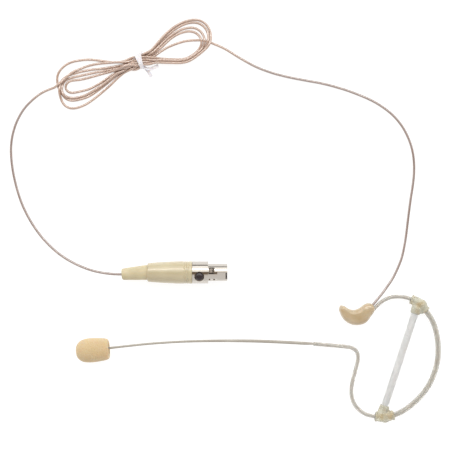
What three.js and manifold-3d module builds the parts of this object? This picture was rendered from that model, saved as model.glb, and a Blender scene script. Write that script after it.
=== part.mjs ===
// Ear-hook headset microphone with a 3-pin miniature connector. Millimetres, +Z up.
// It lies flat: the boom runs towards -X, the ear hook is at +X, and z = 0 is the surface it lies on.
// The origin is the middle of the headset's footprint, without its cable.

import * as THREE from 'three';
import { mergeVertices } from 'three/addons/utils/BufferGeometryUtils.js';
import Module from 'manifold-3d';

// ---- driving dimensions ----------------------------------------------------

const GAP = 0.3; // clearance that neighbouring pieces keep

const HOOK_Z = 2.6; // height of the ear hook's wire
const HOOK_STEP = 2; // spacing of the stations along the ear hook
const FRONT_SLEEVE_R = 0.85;
const REAR_SLEEVE_R = 1.1;
const TOP_SLEEVE_R = 0.8;
const FRONT_SLEEVE_BORE_R = 0.62;
const REAR_SLEEVE_BORE_R = 0.8;
const TOP_SLEEVE_BORE_R = 0.6;
const MEMORY_WIRE_R = 0.22;
const LEAD_R = 0.18;
const WIRE_OFFSET = 0.26; // wire and lead lie side by side in the sleeve

const BOOM_STEP = 4;
const BOOM_R = 0.55;
const BOOM_BORE_R = 0.35;
const BOOM_JOINT_STATION = 14; // where the front length of the boom starts

const HEAD_Z = 5.9; // height of the windscreen's axis
const HEAD_TILT = THREE.MathUtils.degToRad(7);
const HEAD_MOUTH = new THREE.Vector3(-71.4, 5.15, HEAD_Z); // the boom enters the foam here
const FOAM_LENGTH = 15.9;
const FOAM_R = 5.85;
const CAPSULE_R = 2.4;

const CLIP_R = 2.3; // sleeve of a clip round the ear hook
const CLIP_HALF_STATIONS = 3;
const STUB_R = 2.55; // sleeve of a clip round the strap
const STUB_LENGTH = 7;
const STRAP_R = 1.7;
const STRAP_BORE_R = 1.1;
const STRAP_TOP = new THREE.Vector3(76.5, 26.2, HOOK_Z);
const STRAP_BOTTOM = new THREE.Vector3(58.9, -27.9, HOOK_Z);
const STRAP_INSET = 2.6; // from the hook's axis to the end of the strap

const EAR_REST_THICKNESS = 6.4;

const CABLE_R = 0.6;
const CABLE_STEP = 4;
const CABLE_Z = 0.62; // height of the cable's axis where it lies on the surface

const HANK_LOW = 0.9;
const HANK_HIGH = 4.6;
const TIE_CENTRE = new THREE.Vector3(-56.8, 142.3, 2.8);
const TIE_ANGLE = THREE.MathUtils.degToRad(24);
const TIE_WIDTH = 2.9;

const PLUG_Y = 41.2;
const PLUG_Z = 5.4;
const SHELL_R = 5.3;
const NOSE_R = 4.13;
const NOSE_BORE_R = 3.3;
const SHELL_BORE_R = 3.75;
const HANDLE_R = 5.35;
const PLUG_FRONT_X = -14.9;
const COLLAR_FRONT_X = -24;
const COLLAR_BACK_X = -32;
const BOOT_BACK_X = -65.3;
const LATCH_PIVOT_X = -34.2;
const CONTACT_R = 0.7;
const CORE_R = 0.2;

// ---- routes, each point chosen by hand ---------------------------------------

const BOOM_POINTS = [
  [-62.4, 6.15, 5.72], [-54.7, 6.95, 5.5], [-47.0, 7.55, 5.28], [-39.4, 8.0, 5.05],
  [-31.7, 8.3, 4.8], [-24.0, 8.45, 4.55], [-16.3, 8.5, 4.3], [-8.6, 8.45, 4.05],
  [-1.0, 8.3, 3.78], [6.7, 8.0, 3.5], [14.4, 7.6, 3.2], [20.4, 7.25, 2.9], [26.1, 6.95, HOOK_Z],
];

const HOOK_POINTS = [
  [26.4, 6.93], [30.0, 6.6], [34.4, 6.2], [38.5, 5.85], [42.0, 5.5], [44.9, 4.9], [46.8, 3.5], [47.7, 1.2],
  [47.5, -1.6], [46.7, -4.8], [45.6, -8.9], [44.8, -12.5], [44.5, -16.0], [44.8, -18.8], [45.8, -21.6],
  [47.9, -24.4], [50.9, -26.6], [55.4, -27.8], [58.9, -28.0], [62.5, -27.7], [66.5, -26.6], [71.0, -24.1],
  [76.1, -19.8], [80.9, -14.0], [84.0, -7.7], [85.7, -1.6], [86.1, 5.3], [85.3, 12.0], [83.5, 17.5],
  [80.4, 22.4], [76.6, 26.3], [72.4, 28.6], [70.0, 29.2], [67.2, 29.5], [64.0, 29.3], [61.5, 28.5],
  [59.2, 27.2], [57.2, 25.5], [55.6, 23.9], [53.6, 22.1], [51.9, 20.9],
];

const EAR_REST_OUTLINE = [
  [39.4, 25.4], [41.2, 25.0], [43.2, 23.7], [45.6, 23.2], [48.1, 24.0], [50.4, 25.7], [52.7, 26.5],
  [54.6, 25.8], [55.7, 23.4], [53.7, 20.0], [51.6, 17.3], [49.3, 16.2], [46.6, 15.9], [43.5, 16.6],
  [40.8, 18.6], [39.1, 21.4], [38.5, 23.8],
];

const CABLE_TO_HANK_POINTS = [
  [53.0, 23.8, 3.2], [54.9, 25.8, 3.1], [57.2, 28.5, 2.7], [59.6, 31.3, 2.1], [62.0, 34.5, 1.45],
  [64.2, 37.6, 0.95], [66.6, 42.2, 0.68], [68.9, 48.0, CABLE_Z], [70.2, 53.8, CABLE_Z],
  [71.1, 59.5, CABLE_Z], [71.8, 65.3, CABLE_Z], [72.5, 71.0, CABLE_Z], [73.3, 76.8, CABLE_Z],
  [74.2, 82.6, CABLE_Z], [74.8, 88.3, CABLE_Z], [74.8, 94.1, CABLE_Z], [74.0, 99.8, CABLE_Z],
  [72.1, 105.6, CABLE_Z], [69.0, 111.4, CABLE_Z], [64.1, 117.1, CABLE_Z], [55.9, 122.9, CABLE_Z],
  [45.1, 127.6, CABLE_Z], [37.4, 130.1, CABLE_Z], [29.8, 132.0, CABLE_Z], [22.1, 133.4, CABLE_Z],
  [14.4, 134.9, CABLE_Z], [6.7, 136.9, CABLE_Z], [-1.0, 139.8, CABLE_Z], [-8.6, 143.9, CABLE_Z],
  [-16.3, 148.6, CABLE_Z], [-22.0, 151.1, CABLE_Z],
];

const CABLE_TO_PLUG_POINTS = [
  [-97.9, 129.9, CABLE_Z], [-100.8, 128.9, CABLE_Z], [-104.6, 127.0, CABLE_Z], [-108.5, 124.0, CABLE_Z],
  [-112.5, 119.8, CABLE_Z], [-115.8, 114.2, CABLE_Z], [-117.8, 108.5, CABLE_Z], [-118.8, 102.7, CABLE_Z],
  [-118.8, 97.0, CABLE_Z], [-118.2, 91.2, CABLE_Z], [-117.1, 85.4, CABLE_Z], [-115.6, 79.7, CABLE_Z],
  [-113.6, 73.9, CABLE_Z], [-110.9, 68.2, CABLE_Z], [-107.4, 62.4, CABLE_Z], [-102.9, 56.6, CABLE_Z],
  [-97.2, 51.1, 0.75], [-92.6, 47.9, 1.2], [-87.4, 45.2, 2.1], [-82.0, 43.1, 3.3], [-77.0, 41.9, 4.4],
  [-71.5, 41.3, 5.15], [-65.3, PLUG_Y, PLUG_Z], [-56, PLUG_Y, PLUG_Z], [-47, PLUG_Y, PLUG_Z],
];

const HANK_OUTLINE = [
  [-53.8, 144.9], [-49.5, 148.2], [-45.5, 153.0], [-40.5, 158.2], [-34.5, 162.0], [-29.0, 162.2],
  [-24.8, 159.4], [-22.7, 155.0], [-23.0, 150.8], [-26.2, 146.6], [-31.0, 142.8], [-36.0, 141.0],
  [-43.0, 140.7], [-50.0, 141.1], [-56.0, 140.0], [-62.0, 137.6], [-66.5, 134.3], [-71.0, 128.6],
  [-76.6, 123.4], [-83.2, 119.8], [-89.5, 119.3], [-94.4, 122.0], [-96.0, 126.6], [-97.4, 131.6],
  [-96.6, 137.2], [-93.0, 141.6], [-86.5, 143.9], [-78.0, 144.2], [-68.5, 143.6], [-60.0, 143.7],
];

// ---- helpers -------------------------------------------------------------------

const wasm = await Module();
wasm.setup();

const headset = new THREE.Group();

// A geometry as a solid that can be cut and joined.
function solidOf(geometry) {
  const bare = geometry.clone();
  bare.deleteAttribute('normal');
  bare.deleteAttribute('uv');
  const welded = mergeVertices(bare, 1e-4);
  return new wasm.Manifold(new wasm.Mesh({
    numProp: 3,
    vertProperties: welded.attributes.position.array,
    triVerts: new Uint32Array(welded.index.array),
  }));
}

// A solid as a geometry again.
function geometryOf(solid) {
  const mesh = solid.getMesh();
  const geometry = new THREE.BufferGeometry();
  geometry.setAttribute('position', new THREE.BufferAttribute(mesh.vertProperties, 3));
  geometry.setIndex(new THREE.BufferAttribute(mesh.triVerts, 1));
  return geometry;
}

function cut(geometry, ...tools) {
  let solid = solidOf(geometry);
  for (const tool of tools) {
    solid = solid.subtract(solidOf(tool));
  }
  return geometryOf(solid);
}

function join(first, ...others) {
  let solid = solidOf(first);
  for (const other of others) {
    solid = solid.add(solidOf(other));
  }
  return geometryOf(solid);
}

function add(name, geometry, material, group = headset) {
  const mesh = new THREE.Mesh(geometry, material);
  mesh.name = name;
  group.add(mesh);
  return mesh;
}

function finish(color, roughness, metalness = 0) {
  return new THREE.MeshStandardMaterial({ color, roughness, metalness });
}

// A path through fixed stations: pieces swept over the same stations stay evenly inside each other.
class Stations extends THREE.Curve {
  constructor(points) {
    super();
    this.points = points;
  }

  getPoint(t, target = new THREE.Vector3()) {
    const place = t * (this.points.length - 1);
    const index = Math.min(Math.floor(place), this.points.length - 2);
    return target.copy(this.points[index]).lerp(this.points[index + 1], place - index);
  }

  getPointAt(u, target) {
    return this.getPoint(u, target);
  }

  getTangentAt(u, target) {
    return this.getTangent(u, target);
  }
}

// Evenly spaced stations on the smooth curve through the points.
function stationsThrough(points, spacing) {
  const curve = new THREE.CatmullRomCurve3(points, false, 'centripetal');
  curve.arcLengthDivisions = 1000;
  return curve.getSpacedPoints(Math.round(curve.getLength() / spacing));
}

// A round rod or, with a bore, a pipe over the stations. The offset moves it sideways off the path.
function tube(stations, radius, boreRadius = 0, offset = 0, halfSides = 4) {
  const section = new THREE.Shape().absarc(0, offset, radius, 0, 2 * Math.PI);
  if (boreRadius > 0) {
    section.holes.push(new THREE.Path().absarc(0, offset, boreRadius, 0, 2 * Math.PI, true));
  }
  return new THREE.ExtrudeGeometry(section, {
    steps: stations.length - 1,
    curveSegments: halfSides,
    extrudePath: new Stations(stations),
  });
}

// A piece turned about the X axis, from a profile of [x, radius] that runs towards +X on its outside.
function turned(profile, segments = 24) {
  const points = profile.map(([x, radius]) => new THREE.Vector2(radius, x));
  return new THREE.LatheGeometry(points, segments).rotateZ(-Math.PI / 2);
}

// A pipe turned about the X axis between two places.
function ring(from, to, boreRadius, radius, segments = 24) {
  return turned([[from, boreRadius], [from, radius], [to, radius], [to, boreRadius], [from, boreRadius]], segments);
}

// A block from its lowest and highest corners.
function block([x0, y0, z0], [x1, y1, z1]) {
  return new THREE.BoxGeometry(x1 - x0, y1 - y0, z1 - z0)
    .translate((x0 + x1) / 2, (y0 + y1) / 2, (z0 + z1) / 2);
}

// A flat outline through its points, smoothed.
function smoothOutline(points) {
  const curve = new THREE.CatmullRomCurve3(points.map(([x, y]) => new THREE.Vector3(x, y, 0)), true, 'centripetal');
  return new THREE.Shape(curve.getPoints(2 * points.length).slice(1).map(({ x, y }) => new THREE.Vector2(x, y)));
}

// An outline raised to a thickness with rounded rims; the outline stays its widest section.
function pillow(outline, bottom, top, rim, rimSteps = 3) {
  return new THREE.ExtrudeGeometry(outline, {
    depth: top - bottom - 2 * rim,
    bevelThickness: rim,
    bevelSize: 0.6 * rim,
    bevelOffset: -0.6 * rim,
    bevelSegments: rimSteps,
  }).translate(0, 0, bottom + rim);
}

const vectors = (points, z) => points.map((point) => new THREE.Vector3(point[0], point[1], point[2] ?? z));

function nearestStation(stations, place) {
  const distances = stations.map((station) => station.distanceTo(place));
  return distances.indexOf(Math.min(...distances));
}

// ---- microphone head: foam windscreen and capsule ---------------------------------

const head = new THREE.Group();
head.position.copy(HEAD_MOUTH);
head.rotation.z = Math.PI + HEAD_TILT;
headset.add(head);

function makeWindscreen() {
  const foam = turned([
    [0, 2.75], [0, 3.9], [0.35, 4.4], [1.2, 4.75], [3.5, 5.25], [6.5, 5.7], [9.4, FOAM_R], [11.5, 5.7],
    [13.3, 5.15], [14.6, 4.1], [15.5, 2.5], [FOAM_LENGTH, 0], [11, 0], [11, 2.75], [0, 2.75],
  ]);
  add('windscreen', foam, finish(0xe2c79c, 0.95), head);
}

function makeCapsule() {
  const steel = finish(0xb9b7b2, 0.35, 0.9);
  const neck = turned([
    [0.5, 0.85], [0.5, 1.1], [1.6, 1.7], [2.1, CAPSULE_R], [2.6, CAPSULE_R], [2.6, 0.85], [0.5, 0.85],
  ], 20);
  add('capsule_neck', neck, finish(0x8f8a84, 0.4, 0.8), head);
  add('capsule_housing', ring(2.9, 9.6, 2.0, CAPSULE_R, 20), steel, head);

  const grille = turned([[9.9, 0], [9.9, CAPSULE_R], [10.4, CAPSULE_R], [10.4, 0]], 20);
  const holes = [[0, 0]];
  for (let i = 0; i < 6; i += 1) {
    holes.push([1.35 * Math.cos(i * Math.PI / 3), 1.35 * Math.sin(i * Math.PI / 3)]);
  }
  const drills = holes.map(([y, z]) => turned([[9, 0], [9, 0.35], [11, 0.35], [11, 0]], 8).translate(0, y, z));
  add('capsule_grille', cut(grille, ...drills), steel, head);

  const disc = (from, to) => turned([[from, 0], [from, 1.65], [to, 1.65], [to, 0]], 16);
  add('impedance_board', disc(3.6, 4.2), finish(0x2f6b45, 0.6), head);
  add('electret_backplate', disc(6.6, 7.2), finish(0xc9a64a, 0.35, 0.9), head);
  add('electret_diaphragm', disc(7.6, 7.8), finish(0xd8d8da, 0.2, 0.6), head);
}

makeWindscreen();
makeCapsule();

// ---- boom -----------------------------------------------------------------------

function makeBoom() {
  const tip = new THREE.Vector3(1.8, 0, 0).applyEuler(head.rotation).add(HEAD_MOUTH);
  const stations = stationsThrough([tip, HEAD_MOUTH, ...vectors(BOOM_POINTS)], BOOM_STEP);
  const front = stations.slice(0, BOOM_JOINT_STATION + 1);
  const rear = stations.slice(BOOM_JOINT_STATION);
  rear[0] = rear[0].clone().lerp(rear[1], GAP / BOOM_STEP);

  const steel = finish(0xb4aca2, 0.4, 0.5);
  const lead = finish(0xb5654a, 0.5);
  add('boom_tube_front', tube(front, BOOM_R, BOOM_BORE_R), steel);
  add('boom_tube_rear', tube(rear, BOOM_R, BOOM_BORE_R), steel);
  add('boom_lead_front', tube(front, LEAD_R, 0, 0, 2), lead);
  add('boom_lead_rear', tube(rear, LEAD_R, 0, 0, 2), lead);
}

makeBoom();

// ---- ear hook: wire and lead in three sleeves, joined by two clips ---------------------

const hook = stationsThrough(vectors(HOOK_POINTS, HOOK_Z), HOOK_STEP);
const lowerClipStation = nearestStation(hook, STRAP_BOTTOM);
const upperClipStation = nearestStation(hook, STRAP_TOP);

function makeSleeves() {
  const silicone = finish(0xcdc9be, 0.45);
  const front = hook.slice(0, lowerClipStation);
  const rear = hook.slice(lowerClipStation + 1, upperClipStation);
  const top = hook.slice(upperClipStation + 1, -1);
  add('front_sleeve', tube(front, FRONT_SLEEVE_R, FRONT_SLEEVE_BORE_R), silicone);
  add('rear_sleeve', tube(rear, REAR_SLEEVE_R, REAR_SLEEVE_BORE_R), silicone);
  add('top_sleeve', tube(top, TOP_SLEEVE_R, TOP_SLEEVE_BORE_R), silicone);
}

function makeWireAndLead() {
  add('memory_wire', tube(hook, MEMORY_WIRE_R, 0, -WIRE_OFFSET, 2), finish(0x9a9893, 0.3, 0.9));
  add('hook_lead', tube(hook, LEAD_R, 0, WIRE_OFFSET, 2), finish(0xb5654a, 0.5));
}

// A moulded tee: a sleeve round the ear hook and a stub that holds one end of the strap.
function makeClip(name, station, strapEnd, strapFarEnd) {
  const along = hook.slice(station - CLIP_HALF_STATIONS, station + CLIP_HALF_STATIONS + 1);
  const past = hook.slice(station - CLIP_HALF_STATIONS - 1, station + CLIP_HALF_STATIONS + 2);
  const inwards = strapFarEnd.clone().sub(strapEnd).normalize();
  const turn = Math.atan2(inwards.y, inwards.x);
  const place = (geometry) => geometry.rotateZ(turn).translate(strapEnd.x, strapEnd.y, strapEnd.z);

  const stub = place(turned([[0, 0], [0, STUB_R], [STUB_LENGTH, STUB_R], [STUB_LENGTH, 0]], 16));
  const socket = place(turned([
    [STRAP_INSET - GAP, 0], [STRAP_INSET - GAP, STRAP_R + GAP], [STUB_LENGTH + 1, STRAP_R + GAP], [STUB_LENGTH + 1, 0],
  ], 12));
  const body = join(tube(along, CLIP_R, 0, 0, 6), stub);
  add(name, cut(body, tube(past, REAR_SLEEVE_R + GAP), socket), finish(0xd0caaf, 0.45));
}

function makeStrap() {
  const direction = STRAP_BOTTOM.clone().sub(STRAP_TOP).normalize();
  const from = STRAP_TOP.clone().addScaledVector(direction, STRAP_INSET);
  const to = STRAP_BOTTOM.clone().addScaledVector(direction, -STRAP_INSET);
  add('strap_tube', tube([from, to], STRAP_R, STRAP_BORE_R, 0, 6), finish(0xd8d9d4, 0.4));
}

makeSleeves();
makeWireAndLead();
makeClip('lower_clip', lowerClipStation, STRAP_BOTTOM, STRAP_TOP);
makeClip('upper_clip', upperClipStation, STRAP_TOP, STRAP_BOTTOM);
makeStrap();

// ---- ear rest, where the hook's wire ends and the lead joins the cable ---------------------

const cableToHank = stationsThrough(vectors(CABLE_TO_HANK_POINTS), CABLE_STEP);

function makeEarRest() {
  const outline = smoothOutline(EAR_REST_OUTLINE);
  const moulding = pillow(outline, 0.05, 0.05 + EAR_REST_THICKNESS, 2);
  const hookBore = tube(hook.slice(-4), TOP_SLEEVE_R + GAP);
  const cableBore = tube([
    new THREE.Vector3(50.4, 21.1, 3.3), new THREE.Vector3(52.6, 23.35, 3.2), new THREE.Vector3(57, 28.26, 2.85),
  ], CABLE_R + GAP);
  const chamber = turned([[46.0, 0], [46.0, 1.9], [52.0, 1.9], [52.0, 0]], 16).translate(0, 20.6, 3.2);
  add('ear_rest', cut(moulding, hookBore, cableBore, chamber), finish(0xc9b08d, 0.6));

  const core = turned([[46.4, 0], [46.4, 1.4], [50.9, 1.4], [50.9, 0]], 16).translate(0, 20.4, 3.2);
  add('splice_core', core, finish(0xe8e4da, 0.5));
}

makeEarRest();

// ---- cable: to the hank, the hank with its tie, and on to the connector ------------------------

const cableFinish = finish(0xc8b4a6, 0.45);

function makeCable() {
  add('cable_run_ear', tube(cableToHank, CABLE_R), cableFinish);
  add('cable_run_plug', tube(stationsThrough(vectors(CABLE_TO_PLUG_POINTS), CABLE_STEP), CABLE_R), cableFinish);
  add('cable_hank', pillow(smoothOutline(HANK_OUTLINE), HANK_LOW, HANK_HIGH, 1, 2), cableFinish);
}

// The white tie: a band round the waist of the hank, and its two free ends.
function makeTie() {
  const paper = finish(0xf2f2f0, 0.6);
  const bundle = new THREE.Vector3(Math.cos(TIE_ANGLE), Math.sin(TIE_ANGLE), 0);
  const across = new THREE.Vector3(-bundle.y, bundle.x, 0);
  const up = new THREE.Vector3(0, 0, 1);
  const section = new THREE.Shape().absellipse(0, 0, 3.65, 2.8, 0, 2 * Math.PI);
  section.holes.push(new THREE.Path().absellipse(0, 0, 3.3, 2.45, 0, 2 * Math.PI, true));
  const band = new THREE.ExtrudeGeometry(section, { depth: TIE_WIDTH, bevelEnabled: false, curveSegments: 12 })
    .translate(0, 0, -TIE_WIDTH / 2)
    .applyMatrix4(new THREE.Matrix4().makeBasis(across, up, bundle))
    .translate(TIE_CENTRE.x, TIE_CENTRE.y, TIE_CENTRE.z);
  add('tie_band', band, paper);

  const strip = (length, turn, x, y, z) => new THREE.BoxGeometry(length, 1.5, 0.35).rotateZ(turn).translate(x, y, z);
  add('tie_tail_long', strip(6.6, -0.95, -52.4, 137.4, 0.2), paper);
  add('tie_tail_short', strip(6.2, 0.55, -50.6, 138.0, 0.6), paper);
}

makeCable();
makeTie();

// ---- miniature connector, its axis along X --------------------------------------------------

const plug = new THREE.Group();
plug.position.set(0, PLUG_Y, PLUG_Z);
headset.add(plug);

function makeBootAndHandle() {
  const boot = turned([
    [BOOT_BACK_X, CABLE_R + GAP], [BOOT_BACK_X, 2.5], [-64.9, 2.75], [-59, 3.35], [-53.3, 3.75], [-53.3, 2.9],
    [-50.8, 2.9], [-50.8, CABLE_R + GAP], [BOOT_BACK_X, CABLE_R + GAP],
  ]);
  add('strain_relief_boot', boot, finish(0xdecfae, 0.55), plug);

  const grooves = [];
  for (let x = -35.6; x < -32.9; x += 0.9) {
    grooves.push([x, HANDLE_R], [x + 0.25, HANDLE_R - 0.2], [x + 0.5, HANDLE_R]);
  }
  const handle = turned([
    [-53.0, 3.2], [-53.0, 4.2], [-52.6, 4.5], [-47, 4.95], [-41, 5.25], [-38, HANDLE_R], ...grooves,
    [-32.3, HANDLE_R], [-32.3, 4.6], [-37, 4.6], [-37, 3.6], [-50, 3.6], [-50, 3.2], [-53.0, 3.2],
  ]);
  add('connector_handle', handle, finish(0xd6c6a0, 0.4), plug);
  add('cable_chuck', ring(-49.7, -45.8, CABLE_R + GAP, 3.2, 20), finish(0x3c3b3a, 0.5), plug);
}

function makeShell() {
  const shell = turned([
    [-36.6, SHELL_BORE_R], [-36.6, 4.3], [COLLAR_BACK_X, 4.3], [COLLAR_BACK_X, 5.1], [-31.8, SHELL_R],
    [-24.2, SHELL_R], [COLLAR_FRONT_X, 5.1], [COLLAR_FRONT_X, NOSE_R], [-15.1, NOSE_R], [PLUG_FRONT_X, 3.98],
    [PLUG_FRONT_X, NOSE_BORE_R], [COLLAR_FRONT_X, NOSE_BORE_R], [COLLAR_FRONT_X, SHELL_BORE_R],
    [-36.6, SHELL_BORE_R],
  ], 32);
  const buttonHole = new THREE.CylinderGeometry(2.35, 2.35, 5, 20).rotateX(Math.PI / 2).translate(-28.2, -1.75, 4.7);
  const wideChannel = block([-37, -2.7, 0], [-24.3, 2.2, 3.05]);
  const narrowChannel = block([-24.5, -0.5, 0], [-19.8, 2.2, 3.05]);
  const window = block([-23.7, -0.6, 2], [-21.0, 2.4, 5]);
  const keyway = block([-19.7, -2.1, 3.6], [-14, 2.1, 5]).rotateX(THREE.MathUtils.degToRad(25));
  const notches = [-23.4, -21.2].map((x) => block([x - 0.4, -3.8, 2], [x + 0.4, -2.95, 3.4]));
  const cutShell = cut(shell, buttonHole, wideChannel, narrowChannel, window, keyway, ...notches);
  add('connector_shell', cutShell, finish(0xc4bcb2, 0.18, 1), plug);
}

function makeContacts() {
  const places = [[-1.6, -0.3], [1.6, -0.3], [0, -1.75]];
  const insertBlank = turned([[-34.5, 0], [-34.5, 3.0], [-15.5, 3.0], [-15.5, 0]]);
  const flat = block([-35, -4, 0.75], [-19.4, 4, 4]);
  const bores = places.map(([y, z]) => turned([[-35, 0], [-35, 0.9], [-15, 0.9], [-15, 0]], 12).translate(0, y, z));
  add('contact_insert', cut(insertBlank, flat, ...bores), finish(0x1d1c1c, 0.5), plug);

  const gold = finish(0xd2a84c, 0.3, 1);
  const copper = finish(0xb5654a, 0.5);
  places.forEach(([y, z], i) => {
    const contact = turned([
      [-33.5, 0], [-33.5, CONTACT_R], [-16, CONTACT_R], [-16, 0.42], [-21, 0.42], [-21, 0],
    ], 12).translate(0, y, z);
    add(`contact_${i + 1}`, contact, gold, plug);

    const spread = 0.35 / Math.hypot(y, z + 0.8);
    const route = new THREE.CatmullRomCurve3([
      new THREE.Vector3(-46.7, y * spread, (z + 0.8) * spread),
      new THREE.Vector3(-43, y * spread * 1.6, (z + 0.8) * spread * 1.6),
      new THREE.Vector3(-38, y * 0.85, z * 0.85),
      new THREE.Vector3(-33.8, y, z),
    ]);
    add(`core_${i + 1}`, tube(route.getSpacedPoints(6), CORE_R, 0, 0, 3), copper, plug);
  });
}

// The latch: a steel lever that pivots at its rear end, its hook in the window, and the button on it.
function makeLatch() {
  const outline = new THREE.Shape([
    [LATCH_PIVOT_X, -2.3], [-25, -2.3], [-25, -0.2], [-20.6, -0.2], [-20.6, 1.9], [LATCH_PIVOT_X, 1.9],
  ].map(([x, y]) => new THREE.Vector2(x, y)));
  const lever = new THREE.ExtrudeGeometry(outline, { depth: 0.35, bevelEnabled: false }).translate(0, 0, 2.3);
  const hookOutline = new THREE.Shape([[-23.3, 2.5], [-21.4, 2.5], [-22.2, 4.35], [-23.3, 4.35]]
    .map(([x, z]) => new THREE.Vector2(x, z)));
  const hookTooth = new THREE.ExtrudeGeometry(hookOutline, { depth: 1.6, bevelEnabled: false })
    .rotateX(Math.PI / 2).translate(0, 1.7, 0);
  add('latch_lever', join(lever, hookTooth), finish(0xb8b2ab, 0.3, 1), plug);

  const button = new THREE.LatheGeometry([
    [0, 2.95], [1.95, 2.95], [1.95, 4.9], [1.75, 5.3], [1.2, 5.62], [0.6, 5.74], [0, 5.78],
  ].map(([radius, z]) => new THREE.Vector2(radius, z)), 20).rotateX(Math.PI / 2).translate(-28.2, -1.75, 0);
  add('latch_button', button, finish(0x2a2428, 0.35), plug);
}

makeBootAndHandle();
makeShell();
makeContacts();
makeLatch();

export default headset;
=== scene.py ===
# %% [markdown]
# # Ear-hook headset microphone with a miniature connector
#
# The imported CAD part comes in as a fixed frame: it says where every piece is and which body it moves
# with. Each cell below makes one piece of the real object, with its finish, and lays it in that frame.
# Lengths are written in millimetres, as a maker reads them, and turned into metres in one place.

import bmesh
import bpy
import numpy as np
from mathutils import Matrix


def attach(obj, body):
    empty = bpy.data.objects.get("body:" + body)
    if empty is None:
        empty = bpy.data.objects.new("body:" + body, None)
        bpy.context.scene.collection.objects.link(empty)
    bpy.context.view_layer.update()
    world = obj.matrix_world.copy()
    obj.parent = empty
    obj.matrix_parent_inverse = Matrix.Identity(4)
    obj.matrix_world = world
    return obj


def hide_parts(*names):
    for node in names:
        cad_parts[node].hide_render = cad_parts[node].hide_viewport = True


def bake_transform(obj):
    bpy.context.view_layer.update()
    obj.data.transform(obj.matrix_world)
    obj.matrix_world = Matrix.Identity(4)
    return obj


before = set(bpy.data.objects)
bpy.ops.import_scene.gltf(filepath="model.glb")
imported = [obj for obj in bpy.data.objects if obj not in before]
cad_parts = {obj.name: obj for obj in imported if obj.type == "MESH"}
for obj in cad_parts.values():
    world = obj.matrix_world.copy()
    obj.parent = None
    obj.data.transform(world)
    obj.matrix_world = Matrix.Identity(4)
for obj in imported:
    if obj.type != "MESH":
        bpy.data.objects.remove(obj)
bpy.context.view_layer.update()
scene = bpy.context.scene
MM = 0.001

# %% [markdown]
# ## Camera
#
# The object lies on a table and is seen from straight above. A long lens far away keeps the connector,
# which stands 10 mm high, from leaning outwards, so the lens is 100 mm and the distance follows from
# the width that the view has to cover.

# %% Camera straight above the table
VIEW_CENTRE = (-16.03, 63.82)
VIEW_WIDTH = 216.55
lens = bpy.data.cameras.new('camera_lens')
lens.lens = 100
lens.sensor_width = 36
camera = bpy.data.objects.new('camera', lens)
camera_height = VIEW_WIDTH * lens.lens / lens.sensor_width
camera.location = np.array((*VIEW_CENTRE, camera_height)) * MM
scene.collection.objects.link(camera)
scene.camera = camera
scene.view_settings.view_transform = 'Standard'
print('camera height', camera_height, 'mm')

# %% [markdown]
# ## Light
#
# A polished shell shows its whole surroundings, so the studio is drawn as a set of long panels that run
# along X: a wide warm panel behind the object, a dark slot overhead, where the camera looks through, and
# a duller panel in front. The sky's colour is read from one angle, the lean of the direction from
# straight up towards +Y. A dark edge low at the back draws the shell's outline, and one strip light gives
# the plastics their bright line.

# %% Studio of long panels
PANELS = (  # lean from straight up, in degrees, with the panel's brightness and colour there
    (-90, 0.80, 0.79, 0.78), (-32, 0.80, 0.76, 0.73), (-22, 0.58, 0.53, 0.49), (-13, 0.20, 0.14, 0.09),
    (2, 0.18, 0.13, 0.09), (8, 0.42, 0.36, 0.30), (14, 1.36, 1.34, 1.28), (72, 1.40, 1.38, 1.34),
    (77, 0.20, 0.18, 0.16), (86, 0.18, 0.17, 0.16), (90, 0.80, 0.80, 0.79),
)
PANEL_STRENGTH = 1.1
world = bpy.data.worlds.new('studio')
scene.world = world
world.use_nodes = True
nodes, links = world.node_tree.nodes, world.node_tree.links
nodes.clear()
direction = nodes.new('ShaderNodeTexCoord')
direction.label = 'direction looked in'
direction.location = (-900, 0)
parts = nodes.new('ShaderNodeSeparateXYZ')
parts.label = 'its three parts'
parts.location = (-720, 0)
lean = nodes.new('ShaderNodeMath')
lean.label = 'lean from straight up'
lean.operation = 'ARCTAN2'
lean.location = (-540, 0)
share = nodes.new('ShaderNodeMapRange')
share.label = 'lean as a share of half a turn'
share.inputs['From Min'].default_value = -np.pi / 2
share.inputs['From Max'].default_value = np.pi / 2
share.location = (-360, 0)
panels = nodes.new('ShaderNodeValToRGB')
panels.label = 'panels side by side'
panels.location = (-180, 0)
stops = panels.color_ramp.elements
while len(stops) < len(PANELS):
    stops.new(0.5)
for stop, (degrees, *colour) in zip(stops, PANELS):
    stop.position = (degrees + 90) / 180
    stop.color = (*colour, 1)
panel_light = nodes.new('ShaderNodeBackground')
panel_light.label = 'what the panels give'
panel_light.inputs['Strength'].default_value = PANEL_STRENGTH
panel_light.location = (120, 0)
backdrop = nodes.new('ShaderNodeBackground')
backdrop.label = 'plain backdrop'
backdrop.inputs['Color'].default_value = (0.94, 0.94, 0.94, 1)
backdrop.location = (120, -160)
ray = nodes.new('ShaderNodeLightPath')
ray.label = 'seen directly or not'
ray.location = (120, 320)
choose = nodes.new('ShaderNodeMixShader')
choose.label = 'backdrop where seen directly'
choose.location = (340, 0)
sky = nodes.new('ShaderNodeOutputWorld')
sky.label = 'studio'
sky.location = (540, 0)
links.new(direction.outputs['Generated'], parts.inputs['Vector'])
links.new(parts.outputs['Y'], lean.inputs[0])
links.new(parts.outputs['Z'], lean.inputs[1])
links.new(lean.outputs['Value'], share.inputs['Value'])
links.new(share.outputs['Result'], panels.inputs['Fac'])
links.new(panels.outputs['Color'], panel_light.inputs['Color'])
links.new(ray.outputs['Is Camera Ray'], choose.inputs['Fac'])
links.new(panel_light.outputs['Background'], choose.inputs[1])
links.new(backdrop.outputs['Background'], choose.inputs[2])
links.new(choose.outputs['Shader'], sky.inputs['Surface'])
print('panels', len(PANELS))

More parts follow.
